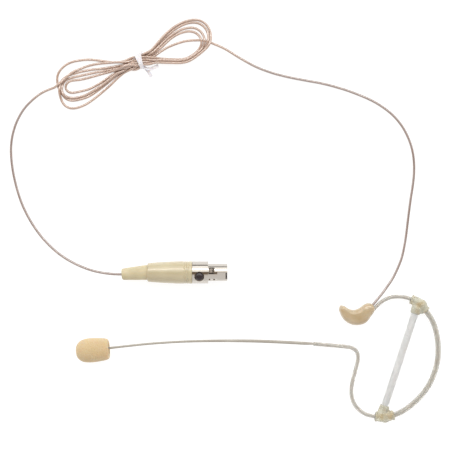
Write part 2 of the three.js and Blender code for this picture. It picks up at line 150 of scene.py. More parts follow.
# %% Strip light
STRIP_LEAN = np.radians(37)
STRIP_DISTANCE = 600
STRIP_ABOVE = np.array((-20, 40, 0))
strip_data = bpy.data.lights.new('strip', 'AREA')
strip_data.shape = 'RECTANGLE'
strip_data.size = 0.7
strip_data.size_y = 0.09
strip_data.energy = 1.2
strip_data.color = (1.0, 0.98, 0.95)
strip = bpy.data.objects.new('strip', strip_data)
towards_strip = np.array((0, np.sin(STRIP_LEAN), np.cos(STRIP_LEAN)))
strip.location = (STRIP_ABOVE + STRIP_DISTANCE * towards_strip) * MM
strip.rotation_euler = (-STRIP_LEAN, 0, 0)
scene.collection.objects.link(strip)
print('strip light', strip_data.energy, 'W')

# %% [markdown]
# ## Helpers for shapes
#
# Almost every piece here is a profile carried along a path: the cable, the sleeves and the boom are
# circles on a curve, and the connector and the windscreen are outlines turned round an axis. So there is
# one way to make a smooth path, one way to place rings on it, and one way to skin rings into a mesh.

# %% Smooth paths
UP = np.array((0.0, 0.0, 1.0))


def lengths(path):
    """Distance run along the path up to each point: the sum of the steps before it."""
    return np.concatenate([[0], np.cumsum(np.linalg.norm(np.diff(path, axis=0), axis=1))])


def spline(points, spacing):
    """Centripetal Catmull-Rom curve through the points, by Barry and Goldman's three rounds of blends,
    then resampled to points that lie the spacing apart."""
    p = np.asarray(points, float)
    p = np.vstack([2 * p[0] - p[1], p, 2 * p[-1] - p[-2]])
    knots = np.concatenate([[0], np.cumsum(np.sqrt(np.linalg.norm(np.diff(p, axis=0), axis=1)))])
    k = [knots[i:len(knots) - 3 + i, None, None] for i in range(4)]
    q = [p[i:len(p) - 3 + i, None, :] for i in range(4)]
    t = k[1] + (k[2] - k[1]) * np.linspace(0, 1, 24, endpoint=False)[None, :, None]

    def mix(a, b, low, high):
        return ((high - t) * a + (t - low) * b) / (high - low)

    first = [mix(q[i], q[i + 1], k[i], k[i + 1]) for i in range(3)]
    second = [mix(first[i], first[i + 1], k[i], k[i + 2]) for i in range(2)]
    fine = np.vstack([mix(second[0], second[1], k[1], k[2]).reshape(-1, p.shape[1]), p[-2]])
    run = lengths(fine)
    even = np.linspace(0, run[-1], int(round(run[-1] / spacing)) + 1)
    return np.column_stack([np.interp(even, run, column) for column in fine.T])


def stretch_of(path, start, end):
    """The points of the path whose run lies between start and end, in mm from its first point."""
    run = lengths(path)
    even = np.linspace(start, end, max(2, int(round((end - start) / (run[1] - run[0]))) + 1))
    return np.column_stack([np.interp(even, run, column) for column in path.T])


def axes_along(path):
    """At each point the direction of travel, the side, which is level, and the direction square to both."""
    ahead = np.gradient(path, axis=0)
    ahead /= np.linalg.norm(ahead, axis=1, keepdims=True)
    side = np.cross(UP, ahead)
    side /= np.linalg.norm(side, axis=1, keepdims=True)
    return ahead, side, np.cross(ahead, side)


# %% Rings and hoses
def rings(path, radius, sides=16, sideways=0.0):
    """Ring point = path point + radius * (cos a * side + sin a * upward), a going round in equal steps.
    sideways moves the whole ring off the path, to lay two wires beside each other."""
    ahead, side, upward = axes_along(path)
    angle = np.linspace(0, 2 * np.pi, sides, endpoint=False)[None, :, None]
    radius = np.broadcast_to(radius, len(path))[:, None, None]
    centre = (path + sideways * side)[:, None, :]
    return centre + radius * (np.cos(angle) * side[:, None] + np.sin(angle) * upward[:, None])


def hose(path, outer, inner, sides=24):
    """Rings of the outer wall from start to end, then of the bore from end back to start: a closed loop."""
    return np.concatenate([rings(path, outer, sides), rings(path, inner, sides)[::-1]])


# %% Profiles and prisms
def soften(corners, radius, steps=4, closed=False):
    """Each corner becomes a short parabola, from a point one radius before it to one radius after it, or
    0.45 of the edge where the edge is short."""
    p = np.asarray(corners, float)
    back, on = np.roll(p, 1, axis=0) - p, np.roll(p, -1, axis=0) - p
    back_length = np.maximum(np.linalg.norm(back, axis=1), 1e-9)[:, None]
    on_length = np.maximum(np.linalg.norm(on, axis=1), 1e-9)[:, None]
    radius = np.broadcast_to(radius, len(p))[:, None]
    start = (p + back / back_length * np.minimum(radius, 0.45 * back_length))[:, None]
    end = (p + on / on_length * np.minimum(radius, 0.45 * on_length))[:, None]
    t = np.linspace(0, 1, steps + 1)[None, :, None]
    curve = (1 - t) ** 2 * start + 2 * t * (1 - t) * p[:, None] + t ** 2 * end
    if closed:
        return curve.reshape(-1, 2)
    return np.vstack([p[:1], curve[1:-1].reshape(-1, 2), p[-1:]])


def turned(profile, start=(0, 0, 0), axis=(1, 0, 0), sides=72):
    """Profile point (s, r) at angle a goes to start + s * axis + r * (cos a * side + sin a * upward)."""
    axis = np.asarray(axis, float) / np.linalg.norm(axis)
    side = np.cross(UP, axis) if abs(axis[2]) < 0.9 else np.array((1.0, 0.0, 0.0))
    side /= np.linalg.norm(side)
    upward = np.cross(axis, side)
    s, r = np.asarray(profile, float).T[:, :, None, None]
    angle = np.linspace(0, 2 * np.pi, sides, endpoint=False)[None, :, None]
    return np.asarray(start, float) + s * axis + r * (np.cos(angle) * side + np.sin(angle) * upward)


def column(outline, low, high):
    """An outline in plan, repeated at two heights: an upright prism."""
    outline = np.asarray(outline, float)
    return np.stack([np.column_stack([outline, np.full(len(outline), z)]) for z in (low, high)])


def block(low, high):
    """A rectangular column between two corners."""
    (x0, y0, z0), (x1, y1, z1) = low, high
    return column([(x0, y0), (x1, y0), (x1, y1), (x0, y1)], z0, z1)


# %% Skins
def skin(name, shells, sharp=38):
    """A mesh from shells. Each shell is (grid, loop): rows of points in mm, joined row to row and round
    each row. A loop's last row joins its first, as in a hose, and otherwise both end rows are closed.
    Points that meet at a pole are merged, faces are turned outwards, and edges sharper than sharp
    degrees stay crisp."""
    points, faces, count = [], [], 0
    for grid, loop in shells:
        index = count + np.arange(grid.shape[0] * grid.shape[1]).reshape(grid.shape[:2])
        low, high = (index, np.roll(index, -1, axis=0)) if loop else (index[:-1], index[1:])
        quads = np.stack([low, np.roll(low, -1, axis=1), np.roll(high, -1, axis=1), high], axis=-1)
        faces += quads.reshape(-1, 4).tolist()
        if not loop:
            faces += [index[0][::-1].tolist(), index[-1].tolist()]
        points.append(grid.reshape(-1, 3) * MM)
        count += index.size
    mesh = bpy.data.meshes.new(name)
    mesh.from_pydata(np.concatenate(points).tolist(), [], faces)
    return tidy(mesh, sharp)


def tidy(mesh, sharp=38):
    """Merges doubles, drops faces with no area, turns faces outwards and marks the crisp edges."""
    work = bmesh.new()
    work.from_mesh(mesh)
    bmesh.ops.remove_doubles(work, verts=work.verts, dist=2e-7)
    bmesh.ops.dissolve_degenerate(work, edges=work.edges, dist=1e-7)
    bmesh.ops.recalc_face_normals(work, faces=work.faces)
    work.to_mesh(mesh)
    work.free()
    mesh.shade_smooth()
    mesh.set_sharp_from_angle(angle=np.radians(sharp))
    return mesh


# %% Pieces
def add_piece(name, mesh, material, body=None, stands_for=()):
    """A finished piece: its mesh is already in place. It rides on a body when one is given."""
    piece = bpy.data.objects.new(name, mesh)
    scene.collection.objects.link(piece)
    mesh.materials.clear()
    mesh.materials.append(material)
    if body:
        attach(piece, body)
    if stands_for:
        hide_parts(*stands_for)
    print(name, len(mesh.polygons), 'faces')
    return piece


# %% Shaping by modifiers
def shape_with(name, mesh, steps, sharp=38):
    """Runs boolean, remesh or smoothing steps on a mesh and returns the result as a new, tidied mesh.
    A step is (modifier kind, settings), and a setting given as a mesh becomes a helper object."""
    work = bpy.data.objects.new(name + '_work', mesh)
    scene.collection.objects.link(work)
    helpers = []
    for kind, settings in steps:
        modifier = work.modifiers.new(kind.lower(), kind)
        for key, value in settings.items():
            if isinstance(value, bpy.types.Mesh):
                value = bpy.data.objects.new(name + '_tool', value)
                scene.collection.objects.link(value)
                helpers.append(value)
            setattr(modifier, key, value)
    shaped = bpy.data.meshes.new_from_object(work.evaluated_get(bpy.context.evaluated_depsgraph_get()))
    shaped.name = name
    for helper in [work, *helpers]:
        bpy.data.objects.remove(helper)
    return tidy(shaped, sharp)


def cut(name, mesh, tools):
    """The mesh less each tool, by exact booleans."""
    return shape_with(name, mesh, [
        ('BOOLEAN', {'operation': 'DIFFERENCE', 'solver': 'EXACT', 'object': tool}) for tool in tools
    ])


# %% Colours
def srgb(red, green, blue):
    """A colour as read from 0 to 255 on a screen, as the linear colour that a shader takes."""
    c = np.array((red, green, blue)) / 255
    return (*np.where(c <= 0.04045, c / 12.92, ((c + 0.055) / 1.055) ** 2.4), 1)


# %% [markdown]
# ## Finish: moulded plastic and rubber
#
# Moulded parts are never one flat colour: the pigment clouds slightly, the skin of the mould leaves a
# fine grain, handling polishes raised edges lighter, and the colour is darker in the hollows, by the
# surface's curvature. One function writes that material for every moulded part here, with its colours,
# grain and softness as arguments.

# %% Moulded finish
def moulded(name, colour, deep, roughness=0.4, cloud=0.35, grain=6.0, bump=0.15, soft=0.0, coat=0.0,
            gloss=1.5):
    """colour and deep are the pigment's two shades, cloud and grain are patterns per millimetre, bump is
    the grain's depth, soft is how far light goes in, coat and gloss are the top layer and its index."""
    material = bpy.data.materials.new(name)
    material.use_nodes = True
    nodes, links = material.node_tree.nodes, material.node_tree.links
    nodes.clear()
    pigment = nodes.new('NodeFrame')
    pigment.label = 'pigment'
    skin_frame = nodes.new('NodeFrame')
    skin_frame.label = 'skin of the mould'
    place = nodes.new('ShaderNodeTexCoord')
    place.label = 'place on the object'
    place.location = (-1100, 0)
    clouds = nodes.new('ShaderNodeTexNoise')
    clouds.label = 'clouding of the pigment'
    clouds.inputs['Scale'].default_value = cloud / MM
    clouds.inputs['Detail'].default_value = 3
    clouds.location = (-860, 260)
    clouds.parent = pigment
    depth = nodes.new('ShaderNodeMapRange')
    depth.label = 'how deep the shade is'
    depth.inputs['From Min'].default_value = 0.3
    depth.inputs['From Max'].default_value = 0.7
    depth.location = (-640, 260)
    depth.parent = pigment
    shades = nodes.new('ShaderNodeMix')
    shades.data_type = 'RGBA'
    shades.label = 'two shades of pigment'
    shades.inputs['A'].default_value = colour
    shades.inputs['B'].default_value = deep
    shades.location = (-420, 260)
    shades.parent = pigment
    form = nodes.new('ShaderNodeNewGeometry')
    form.label = 'edges and hollows'
    form.location = (-860, 520)
    form.parent = pigment
    # The colour is darker in the hollows and lighter on raised edges, read from the surface's curvature.
    edges = nodes.new('ShaderNodeMapRange')
    edges.label = 'hollows dark, edges rubbed'
    edges.inputs['From Min'].default_value = 0.42
    edges.inputs['From Max'].default_value = 0.58
    edges.inputs['To Min'].default_value = 0.86
    edges.inputs['To Max'].default_value = 1.08
    edges.location = (-640, 520)
    edges.parent = pigment
    rubbed = nodes.new('ShaderNodeMix')
    rubbed.data_type = 'RGBA'
    rubbed.blend_type = 'MULTIPLY'
    rubbed.label = 'pigment darker in hollows, rubbed at edges'
    rubbed.inputs['Factor'].default_value = 1
    rubbed.location = (-200, 260)
    rubbed.parent = pigment
    grains = nodes.new('ShaderNodeTexNoise')
    grains.label = 'mould grain'
    grains.inputs['Scale'].default_value = grain / MM
    grains.inputs['Detail'].default_value = 4
    grains.inputs['Roughness'].default_value = 0.6
    grains.location = (-860, -160)
    grains.parent = skin_frame
    polish = nodes.new('ShaderNodeMapRange')
    polish.label = 'polished and dull patches'
    polish.inputs['To Min'].default_value = roughness * 0.82
    polish.inputs['To Max'].default_value = roughness * 1.2
    polish.location = (-420, -60)
    polish.parent = skin_frame
    relief = nodes.new('ShaderNodeBump')
    relief.label = 'relief of the grain'
    relief.inputs['Strength'].default_value = bump
    relief.inputs['Distance'].default_value = 0.05 * MM
    relief.location = (-420, -280)
    relief.parent = skin_frame
    surface = nodes.new('ShaderNodeBsdfPrincipled')
    surface.label = name
    surface.inputs['IOR'].default_value = 1.48
    surface.inputs['Subsurface Weight'].default_value = soft
    surface.inputs['Subsurface Radius'].default_value = (1.0, 0.62, 0.38)
    surface.inputs['Subsurface Scale'].default_value = 1.2 * MM
    surface.inputs['Coat Weight'].default_value = coat
    surface.inputs['Coat Roughness'].default_value = 0.2
    surface.inputs['Coat IOR'].default_value = gloss
    surface.location = (40, 100)
    output = nodes.new('ShaderNodeOutputMaterial')
    output.label = 'finish'
    output.location = (320, 100)
    links.new(place.outputs['Object'], clouds.inputs['Vector'])
    links.new(clouds.outputs['Fac'], depth.inputs['Value'])
    links.new(depth.outputs['Result'], shades.inputs['Factor'])
    links.new(form.outputs['Pointiness'], edges.inputs['Value'])
    links.new(shades.outputs['Result'], rubbed.inputs['A'])
    links.new(edges.outputs['Result'], rubbed.inputs['B'])
    links.new(rubbed.outputs['Result'], surface.inputs['Base Color'])
    links.new(place.outputs['Object'], grains.inputs['Vector'])
    links.new(grains.outputs['Fac'], polish.inputs['Value'])
    links.new(polish.outputs['Result'], surface.inputs['Roughness'])
    links.new(grains.outputs['Fac'], relief.inputs['Height'])
    links.new(relief.outputs['Normal'], surface.inputs['Normal'])
    links.new(surface.outputs['BSDF'], output.inputs['Surface'])
    return material


# The jacket's warm base colour holds painted bounce light from neighbouring strands; the runs are greyed
# further down.
cable_jacket = moulded('cable_jacket', srgb(184, 156, 139), srgb(167, 137, 120), roughness=0.3, cloud=0.12,
                       grain=5, bump=0.1, soft=0.1, coat=1.0, gloss=2.3)
print(cable_jacket.name)

# %% [markdown]
# ## Finish: painted bounce light in the cable's hank
#
# The jacket is painted warm in the hank, as painted bounce light where the strands light each other, and
# greyer where it runs alone.
# The distance from the middle of the hank says which stretch a point belongs to, so three more nodes on
# Object coordinates are enough, and the cord needs no map of its own.

# %% Painted bounce light in the hank, greyer runs of the jacket
HANK_MIDDLE = (-58.0, 141.0, 2.0)
HANK_REACH, RUNS_FROM = 40, 58
nodes, links = cable_jacket.node_tree.nodes, cable_jacket.node_tree.links
by_label = {node.label: node for node in nodes}
runs = nodes.new('NodeFrame')
runs.label = 'runs without the painted bounce light'
away = nodes.new('ShaderNodeVectorMath')
away.operation = 'DISTANCE'
away.label = 'distance from the hank'
away.inputs[1].default_value = [MM * v for v in HANK_MIDDLE]
away.location = (-860, 820)
away.parent = runs
alone = nodes.new('ShaderNodeMapRange')
alone.label = 'outside the hank'
alone.inputs['From Min'].default_value = HANK_REACH * MM
alone.inputs['From Max'].default_value = RUNS_FROM * MM
alone.location = (-640, 820)
alone.parent = runs
# Painted bounce light: away from the hank this factor takes the painted warmth out of the jacket's colour.
without_bounce_light = nodes.new('ShaderNodeMix')
without_bounce_light.data_type = 'RGBA'
without_bounce_light.blend_type = 'MULTIPLY'
without_bounce_light.label = 'jacket without the painted bounce light'
without_bounce_light.inputs['B'].default_value = (0.63, 0.69, 0.82, 1)
without_bounce_light.location = (-420, 820)
without_bounce_light.parent = runs
links.new(by_label['place on the object'].outputs['Object'], away.inputs[0])
links.new(away.outputs['Value'], alone.inputs['Value'])
links.new(alone.outputs['Result'], without_bounce_light.inputs['Factor'])
links.new(by_label['two shades of pigment'].outputs['Result'], without_bounce_light.inputs['A'])
links.new(without_bounce_light.outputs['Result'], by_label['pigment darker in hollows, rubbed at edges'].inputs['A'])
print('jacket nodes', len(nodes))

# %% [markdown]
# ## Cable
#
# The cable is one thin flexible cord, 1.2 mm thick. It leaves the ear rest, runs in a wide curve over the
# table, is wound into a figure-of-eight hank with a tie at its waist, and runs on to the connector.
# Its line is settled before its shape: listed points for the two long runs, and a loop that lays
# each turn of the hank by its place between an outer and an inner line. Where turns cross they would pass
# through each other, so the line is then let go: strands push each other a diameter apart, stiffness
# smooths them, weight brings them down to the table, and the tie holds the waist together.

# %% Runs to and from the hank
CABLE_R = 0.6
LYING = 0.62
TO_HANK = [
    (53.0, 23.8, 3.2), (54.9, 25.8, 3.1), (57.2, 28.5, 2.7), (59.6, 31.3, 2.1), (62.0, 34.5, 1.45),
    (64.2, 37.6, 0.95), (66.6, 42.2, 0.68), (68.9, 48.0, LYING), (70.2, 53.8, LYING), (71.1, 59.5, LYING),
    (71.8, 65.3, LYING), (72.5, 71.0, LYING), (73.3, 76.8, LYING), (74.2, 82.6, LYING),
    (74.8, 88.3, LYING), (74.8, 94.1, LYING), (74.0, 99.8, LYING), (72.1, 105.6, LYING),
    (69.0, 111.4, LYING), (64.1, 117.1, LYING), (55.9, 122.9, LYING), (45.1, 127.6, LYING),
    (37.4, 130.1, LYING), (29.8, 132.0, LYING), (22.1, 133.4, LYING), (14.4, 134.9, LYING),
    (6.7, 136.9, LYING), (-1.0, 139.8, LYING), (-8.6, 143.9, LYING), (-16.3, 148.6, LYING),
    (-22.0, 151.1, LYING),
]
TO_PLUG = [
    (-97.9, 129.9, LYING), (-100.8, 128.9, LYING), (-104.6, 127.0, LYING), (-108.5, 124.0, LYING),
    (-112.5, 119.8, LYING), (-115.8, 114.2, LYING), (-117.8, 108.5, LYING), (-118.8, 102.7, LYING),
    (-118.8, 97.0, LYING), (-118.2, 91.2, LYING), (-117.1, 85.4, LYING), (-115.6, 79.7, LYING),
    (-113.6, 73.9, LYING), (-110.9, 68.2, LYING), (-107.4, 62.4, LYING), (-102.9, 56.6, LYING),
    (-97.2, 51.1, 0.75), (-92.6, 47.8, 1.2), (-87.4, 45.0, 2.1), (-82.0, 42.8, 3.3), (-77.0, 41.45, 4.4),
    (-71.5, 40.6, 5.1), (-65.3, 40.3, 5.4), (-59.0, 40.75, 5.4), (-53.3, 41.2, 5.4), (-47.0, 41.2, 5.4),
]
print('points to the hank', len(TO_HANK), 'and to the connector', len(TO_PLUG))

# %% [markdown]
# ### Lines of the hank
#
# A figure of eight is a right loop and a left loop that cross in the tie. Each is drawn twice, along its
# outermost and its innermost strand, and every turn lies some share of the way between the two. Each pass
# through the tie has a seat of its own in the bundle, so that the strands keep their order there.

# %% Turns of the hank
ENTRY = [(-25.9, 152.4), (-29.3, 152.6), (-32.6, 152.5), (-36.0, 152.0), (-39.4, 150.9), (-43.2, 149.4),
         (-46.6, 147.4), (-49.6, 145.4), (-52.4, 143.2)]
EXIT = [(-61.9, 142.3), (-66.2, 142.0), (-70.6, 141.8), (-74.6, 141.6), (-78.5, 141.0), (-82.1, 140.2),
        (-85.4, 138.9), (-88.6, 137.4), (-91.4, 135.4), (-93.9, 133.0), (-96.0, 131.0)]
RIGHT_OUTER = [(-51.8, 141.9), (-47.0, 141.8), (-41.8, 141.7), (-37.0, 141.7), (-32.6, 142.9),
               (-29.3, 145.2), (-26.2, 147.6), (-23.9, 150.5), (-22.9, 153.8), (-23.4, 157.4),
               (-25.3, 160.4), (-28.3, 162.2), (-31.9, 162.4), (-35.5, 161.5), (-39.1, 159.7),
               (-42.5, 157.2), (-45.8, 154.1), (-49.1, 150.3), (-51.7, 147.4), (-54.2, 145.9)]
RIGHT_INNER = [(-51.8, 143.8), (-47.0, 143.7), (-41.8, 143.4), (-37.0, 143.4), (-33.8, 144.2),
               (-31.2, 145.9), (-29.0, 147.4), (-27.6, 149.1), (-27.2, 151.4), (-27.8, 153.7),
               (-29.3, 155.5), (-31.4, 156.7), (-34.1, 156.8), (-37.0, 156.2), (-39.8, 154.9),
               (-42.5, 153.2), (-45.0, 151.1), (-47.6, 148.7), (-50.3, 146.1), (-52.6, 144.4)]
LEFT_LOW_OUTER = [(-61.0, 139.4), (-64.3, 137.5), (-67.2, 134.9), (-70.8, 131.3), (-74.9, 127.7),
                  (-79.0, 124.4), (-83.3, 121.6), (-87.4, 120.1), (-90.7, 120.0)]
LEFT_LOW_INNER = [(-61.0, 139.9), (-65.3, 138.7), (-68.9, 136.8), (-72.5, 134.4), (-75.8, 132.1),
                  (-79.0, 130.3), (-82.3, 128.8), (-85.7, 128.1), (-88.8, 127.4)]
LEFT_UP_OUTER = [(-95.3, 138.1), (-92.9, 140.5), (-89.8, 142.1), (-85.9, 142.9), (-82.1, 143.3),
                 (-78.2, 143.1), (-74.4, 142.5), (-70.6, 142.0), (-66.2, 142.2), (-61.9, 142.9)]
LEFT_UP_INNER = [(-90.2, 133.1), (-88.1, 133.3), (-85.4, 133.7), (-82.6, 134.3), (-79.7, 135.1),
                 (-76.8, 135.9), (-73.9, 136.8), (-71.0, 137.6), (-66.7, 138.6), (-61.9, 139.9)]
TURNS = (  # how far in the right loop, the left loop's low side and its high side lie, its end's bulge
    (1.0, 0.5, 0.0, 3.4), (0.68, 0.0, 0.6, 3.9), (0.24, 0.64, 0.8, 4.4), (0.0, 1.0, 1.0, 3.2),
)
TIE_CENTRE = np.array((-56.8, 142.3, 2.12))
TIE_TURN = np.radians(24)
TIE_INSIDE = (3.3, 1.75)
BUNDLE = np.array((np.cos(TIE_TURN), np.sin(TIE_TURN)))
ACROSS = np.array((-BUNDLE[1], BUNDLE[0]))
# Seats of the strands in the tie: (across the bundle, up), for the low family and the high one.
LOW_SEATS = ((-2.3, -0.55), (-1.2, -0.6), (0.0, -0.6), (1.2, -0.6), (2.3, -0.55))
LOW_LEAN = np.radians(33)
HIGH_SEATS = ((1.9, 0.55), (0.65, 0.6), (-0.65, 0.6), (-1.9, 0.55))
HIGH_LEAN = np.radians(12)


# %% From turns to one route
def at_height(points, height):
    """Points in plan, all lifted to the one height."""
    return np.column_stack([points, np.full(len(points), height)])


def part_way(outer, inner, share):
    """Points that lie the given share of the way from the outer line to the inner one."""
    return (1 - share) * np.array(outer) + share * np.array(inner)


def round_end(low_end, high_start, bulge):
    """Half an ellipse from the low strand's end to the high strand's start: middle + half * cos a
    + outwards * bulge * sin a, at three angles."""
    middle, half = (low_end + high_start) / 2, (low_end - high_start) / 2
    outwards = np.array((-abs(half[1]), half[0] * np.sign(half[1]))) / np.linalg.norm(half)
    angle = np.radians((48, 90, 132))[:, None]
    return middle + half * np.cos(angle) + outwards * bulge * np.sin(angle)


def through_tie(seat, lean, leftwards):
    """Two points inside the tie, for a strand in that seat: so far across the bundle and so far up, on
    a line that leans as the strand's family does."""
    across, up = seat
    heading = np.array((np.cos(lean), np.sin(lean)))
    ends = np.array([TIE_CENTRE[:2] + ACROSS * across + heading * along for along in (1.3, -1.3)])
    return at_height(ends if leftwards else ends[::-1], TIE_CENTRE[2] + up)


hank = [at_height(ENTRY, LYING)]
for turn, (right, left_low, left_high, bulge) in enumerate(TURNS):
    height = 0.7 + 0.45 * turn
    low = part_way(LEFT_LOW_OUTER, LEFT_LOW_INNER, left_low)
    high = part_way(LEFT_UP_OUTER, LEFT_UP_INNER, left_high)
    hank.append(through_tie(LOW_SEATS[turn], LOW_LEAN, True))
    hank.append(at_height(np.vstack([low, round_end(low[-1], high[0], bulge)]), height))
    hank.append(at_height(high, height + 0.2))
    hank.append(through_tie(HIGH_SEATS[turn], HIGH_LEAN, False))
    hank.append(at_height(part_way(RIGHT_OUTER, RIGHT_INNER, right), height + 0.1))
hank += [through_tie(LOW_SEATS[4], LOW_LEAN, True), at_height(EXIT, 2.6)]
route = spline(np.vstack([TO_HANK, *hank, TO_PLUG]), 0.75)
print('route', len(route), 'points,', round(lengths(route)[-1]), 'mm')


# %% [markdown]
# ### Settling
#
# A rope simulation would let the strands down too, but one for a cord a millimetre thick needs thousands
# of small steps. Here the points are moved apart directly, as whole arrays, for a few hundred rounds,
# which takes seconds and gives the same hank each time.

# %% Let the strands settle
def settle(route, held, rounds=320):
    """Each round: strands nearer than a diameter move apart by half the shortfall each, the second
    difference of the bend is taken down, the line is drawn back to its plan and down by its weight, and
    the table and the tie stop it. Held points don't move."""
    p = route.copy()
    n = len(p)
    one, two = np.triu_indices(n, 4)
    rel = route[:, :2] - TIE_CENTRE[:2]
    tied = (np.abs(rel @ BUNDLE) < 1.6) & (np.abs(rel @ ACROSS) < 4) & ~held
    draw = (np.clip((np.linalg.norm(rel, axis=1) - 4) / 7, 0.0, 1) * 0.06 + 0.004)[:, None]
    inside = np.array(TIE_INSIDE) - CABLE_R
    for k in range(rounds):
        if k % 15 == 0:
            close = np.abs(p[one, :2] - p[two, :2]).max(axis=1) < 4 * CABLE_R
            i, j = one[close], two[close]
        gap = p[j] - p[i]
        apart = np.linalg.norm(gap, axis=1)
        hit = apart < 2.02 * CABLE_R
        step = gap[hit] * ((2.02 * CABLE_R - apart[hit]) / apart[hit] / 2)[:, None]
        push, count = np.zeros((n, 3)), np.zeros(n)
        np.add.at(push, i[hit], -step)
        np.add.at(push, j[hit], step)
        np.add.at(count, np.concatenate([i[hit], j[hit]]), 0.55)
        p += push / np.maximum(1, count)[:, None]
        bend = np.zeros((n, 3))
        bend[1:-1] = p[:-2] - 2 * p[1:-1] + p[2:]
        stiff = np.zeros((n, 3))
        stiff[2:-2] = bend[1:-3] - 2 * bend[2:-2] + bend[3:-1]
        p -= 0.06 * stiff
        if k < rounds * 0.8:
            p[:, :2] += draw * (route[:, :2] - p[:, :2])
            p[:, 2] -= 0.012 * CABLE_R
        off = p[tied, :2] - TIE_CENTRE[:2]
        seat = np.column_stack([off @ ACROSS, p[tied, 2] - TIE_CENTRE[2]]) / inside
        seat = seat / np.maximum(1, np.linalg.norm(seat, axis=1))[:, None] * inside
        p[tied, :2] = TIE_CENTRE[:2] + np.outer(off @ BUNDLE, BUNDLE) + np.outer(seat[:, 0], ACROSS)
        p[tied, 2] = TIE_CENTRE[2] + seat[:, 1]
        p[:, 2] = np.maximum(p[:, 2], CABLE_R + 0.01)
        p[held] = route[held]
    print('closest strands', round(apart.min(), 2), 'mm apart, highest', round(p[:, 2].max(), 2))
    return p


# %% Cable
entered = np.argmin(np.linalg.norm(route[:, :2] - (-19.0, 149.8), axis=1))
left_at = len(route) - 1 - np.argmin(np.linalg.norm(route[::-1, :2] - (-100.8, 128.9), axis=1))
held = np.ones(len(route), bool)
held[entered:left_at] = False
centreline = settle(route, held)
cable = add_piece('cable', skin('cable', [(rings(centreline, CABLE_R, 20), False)]), cable_jacket,
                  'ear_hook', ['cable_run_ear', 'cable_hank', 'cable_run_plug'])

# %% [markdown]
# ## Tie
#
# The hank is held by a flat white twist tie: a paper or plastic ribbon with a wire in it, wrapped round
# the waist, its two ends twisted once and left standing out. The band is a rounded strip carried round
# an ellipse, with a small fold standing up from it, and each end is a strip carried along its own short
# curve, with a slight roll.

# %% Twist tie
def ribbon(path, width, thickness, roll=0.0):
    """A strip with rounded edges on a path. Its section is (width / 2 * root of cos a, thickness / 2 *
    root of sin a), signs kept, turned about the path by the roll at each point."""
    ahead, side, upward = axes_along(path)
    a = np.linspace(0, 2 * np.pi, 28, endpoint=False)
    shape = np.column_stack([np.cos(a), np.sin(a)])
    shape = np.sign(shape) * np.abs(shape) ** 0.5 * (width / 2, thickness / 2)
    roll = np.broadcast_to(roll, len(path))
    turned_side = np.cos(roll)[:, None] * side + np.sin(roll)[:, None] * upward
    turned_up = np.cross(ahead, turned_side)
    return path[:, None] + shape[None, :, :1] * turned_side[:, None] + shape[None, :, 1:] * turned_up[:, None]


def tie_band():
    """The strip's section goes round the bundle on an ellipse: centre + across * (inside + t) * cos a
    + up * (inside + t) * sin a + bundle * w, pulled wide at one edge, narrow at the twist."""
    a = np.linspace(0, 2 * np.pi, 96, endpoint=False)[:, None]
    edge = np.linspace(0, 2 * np.pi, 20, endpoint=False)[None, :]

    def power(v):
        return np.sign(v) * np.abs(v) ** 0.45

    w = power(np.cos(edge)) * (1.22 + 0.42 * np.cos(a) + 0.04 * np.sin(3 * a)) + 0.3 * np.cos(a)
    t = power(np.sin(edge)) * 0.15 + 0.2 + 0.03 * np.sin(7 * a)
    flat = BUNDLE[None, None] * w[..., None] + ACROSS * ((TIE_INSIDE[0] + t) * np.cos(a))[..., None]
    rise = (TIE_INSIDE[1] + t) * np.sin(a)
    return TIE_CENTRE + np.concatenate([flat, rise[..., None]], axis=2)


# %% Band and ends of the tie
tie_paper = moulded('tie_paper', srgb(232, 231, 238), srgb(218, 217, 224), roughness=0.5, cloud=0.6,
                    grain=9, bump=0.3, soft=0.1)
tail_long = spline([(-55.7, 139.7, 1.0), (-54.2, 139.2, 0.75), (-52.9, 137.6, 0.5), (-51.4, 135.0, 0.25)],
                   0.25)
tail_short = spline([(-55.9, 140.1, 1.7), (-54.2, 139.2, 1.35), (-52.0, 138.8, 0.95), (-50.0, 139.5, 0.7),
                     (-48.0, 140.4, 0.6)], 0.25)
fold = spline([(-56.9, 145.0, 2.9), (-56.3, 146.0, 2.7), (-55.7, 147.2, 2.3)], 0.2)
band_mesh = skin('tie_band_ribbon', [(tie_band(), True), (ribbon(fold, 0.9, 0.3), False)])
band = add_piece('tie_band_ribbon', band_mesh, tie_paper, 'ear_hook', ['tie_band'])
roll = np.linspace(0.9, 0.1, len(tail_long))
long_end = add_piece('tie_end_long', skin('tie_end_long', [(ribbon(tail_long, 1.8, 0.28, roll), False)]),
                     tie_paper, 'ear_hook', ['tie_tail_long'])
roll = np.linspace(-1.1, 0.15, len(tail_short))
short_end = add_piece('tie_end_short', skin('tie_end_short', [(ribbon(tail_short, 1.8, 0.28, roll), False)]),
                      tie_paper, 'ear_hook', ['tie_tail_short'])

# %% [markdown]
# ## Floor
#
# A plain pale table top. Most of its brightness is a glow of its own, as of a lit table, so that it
# stays even and the contact shadows stay faint.

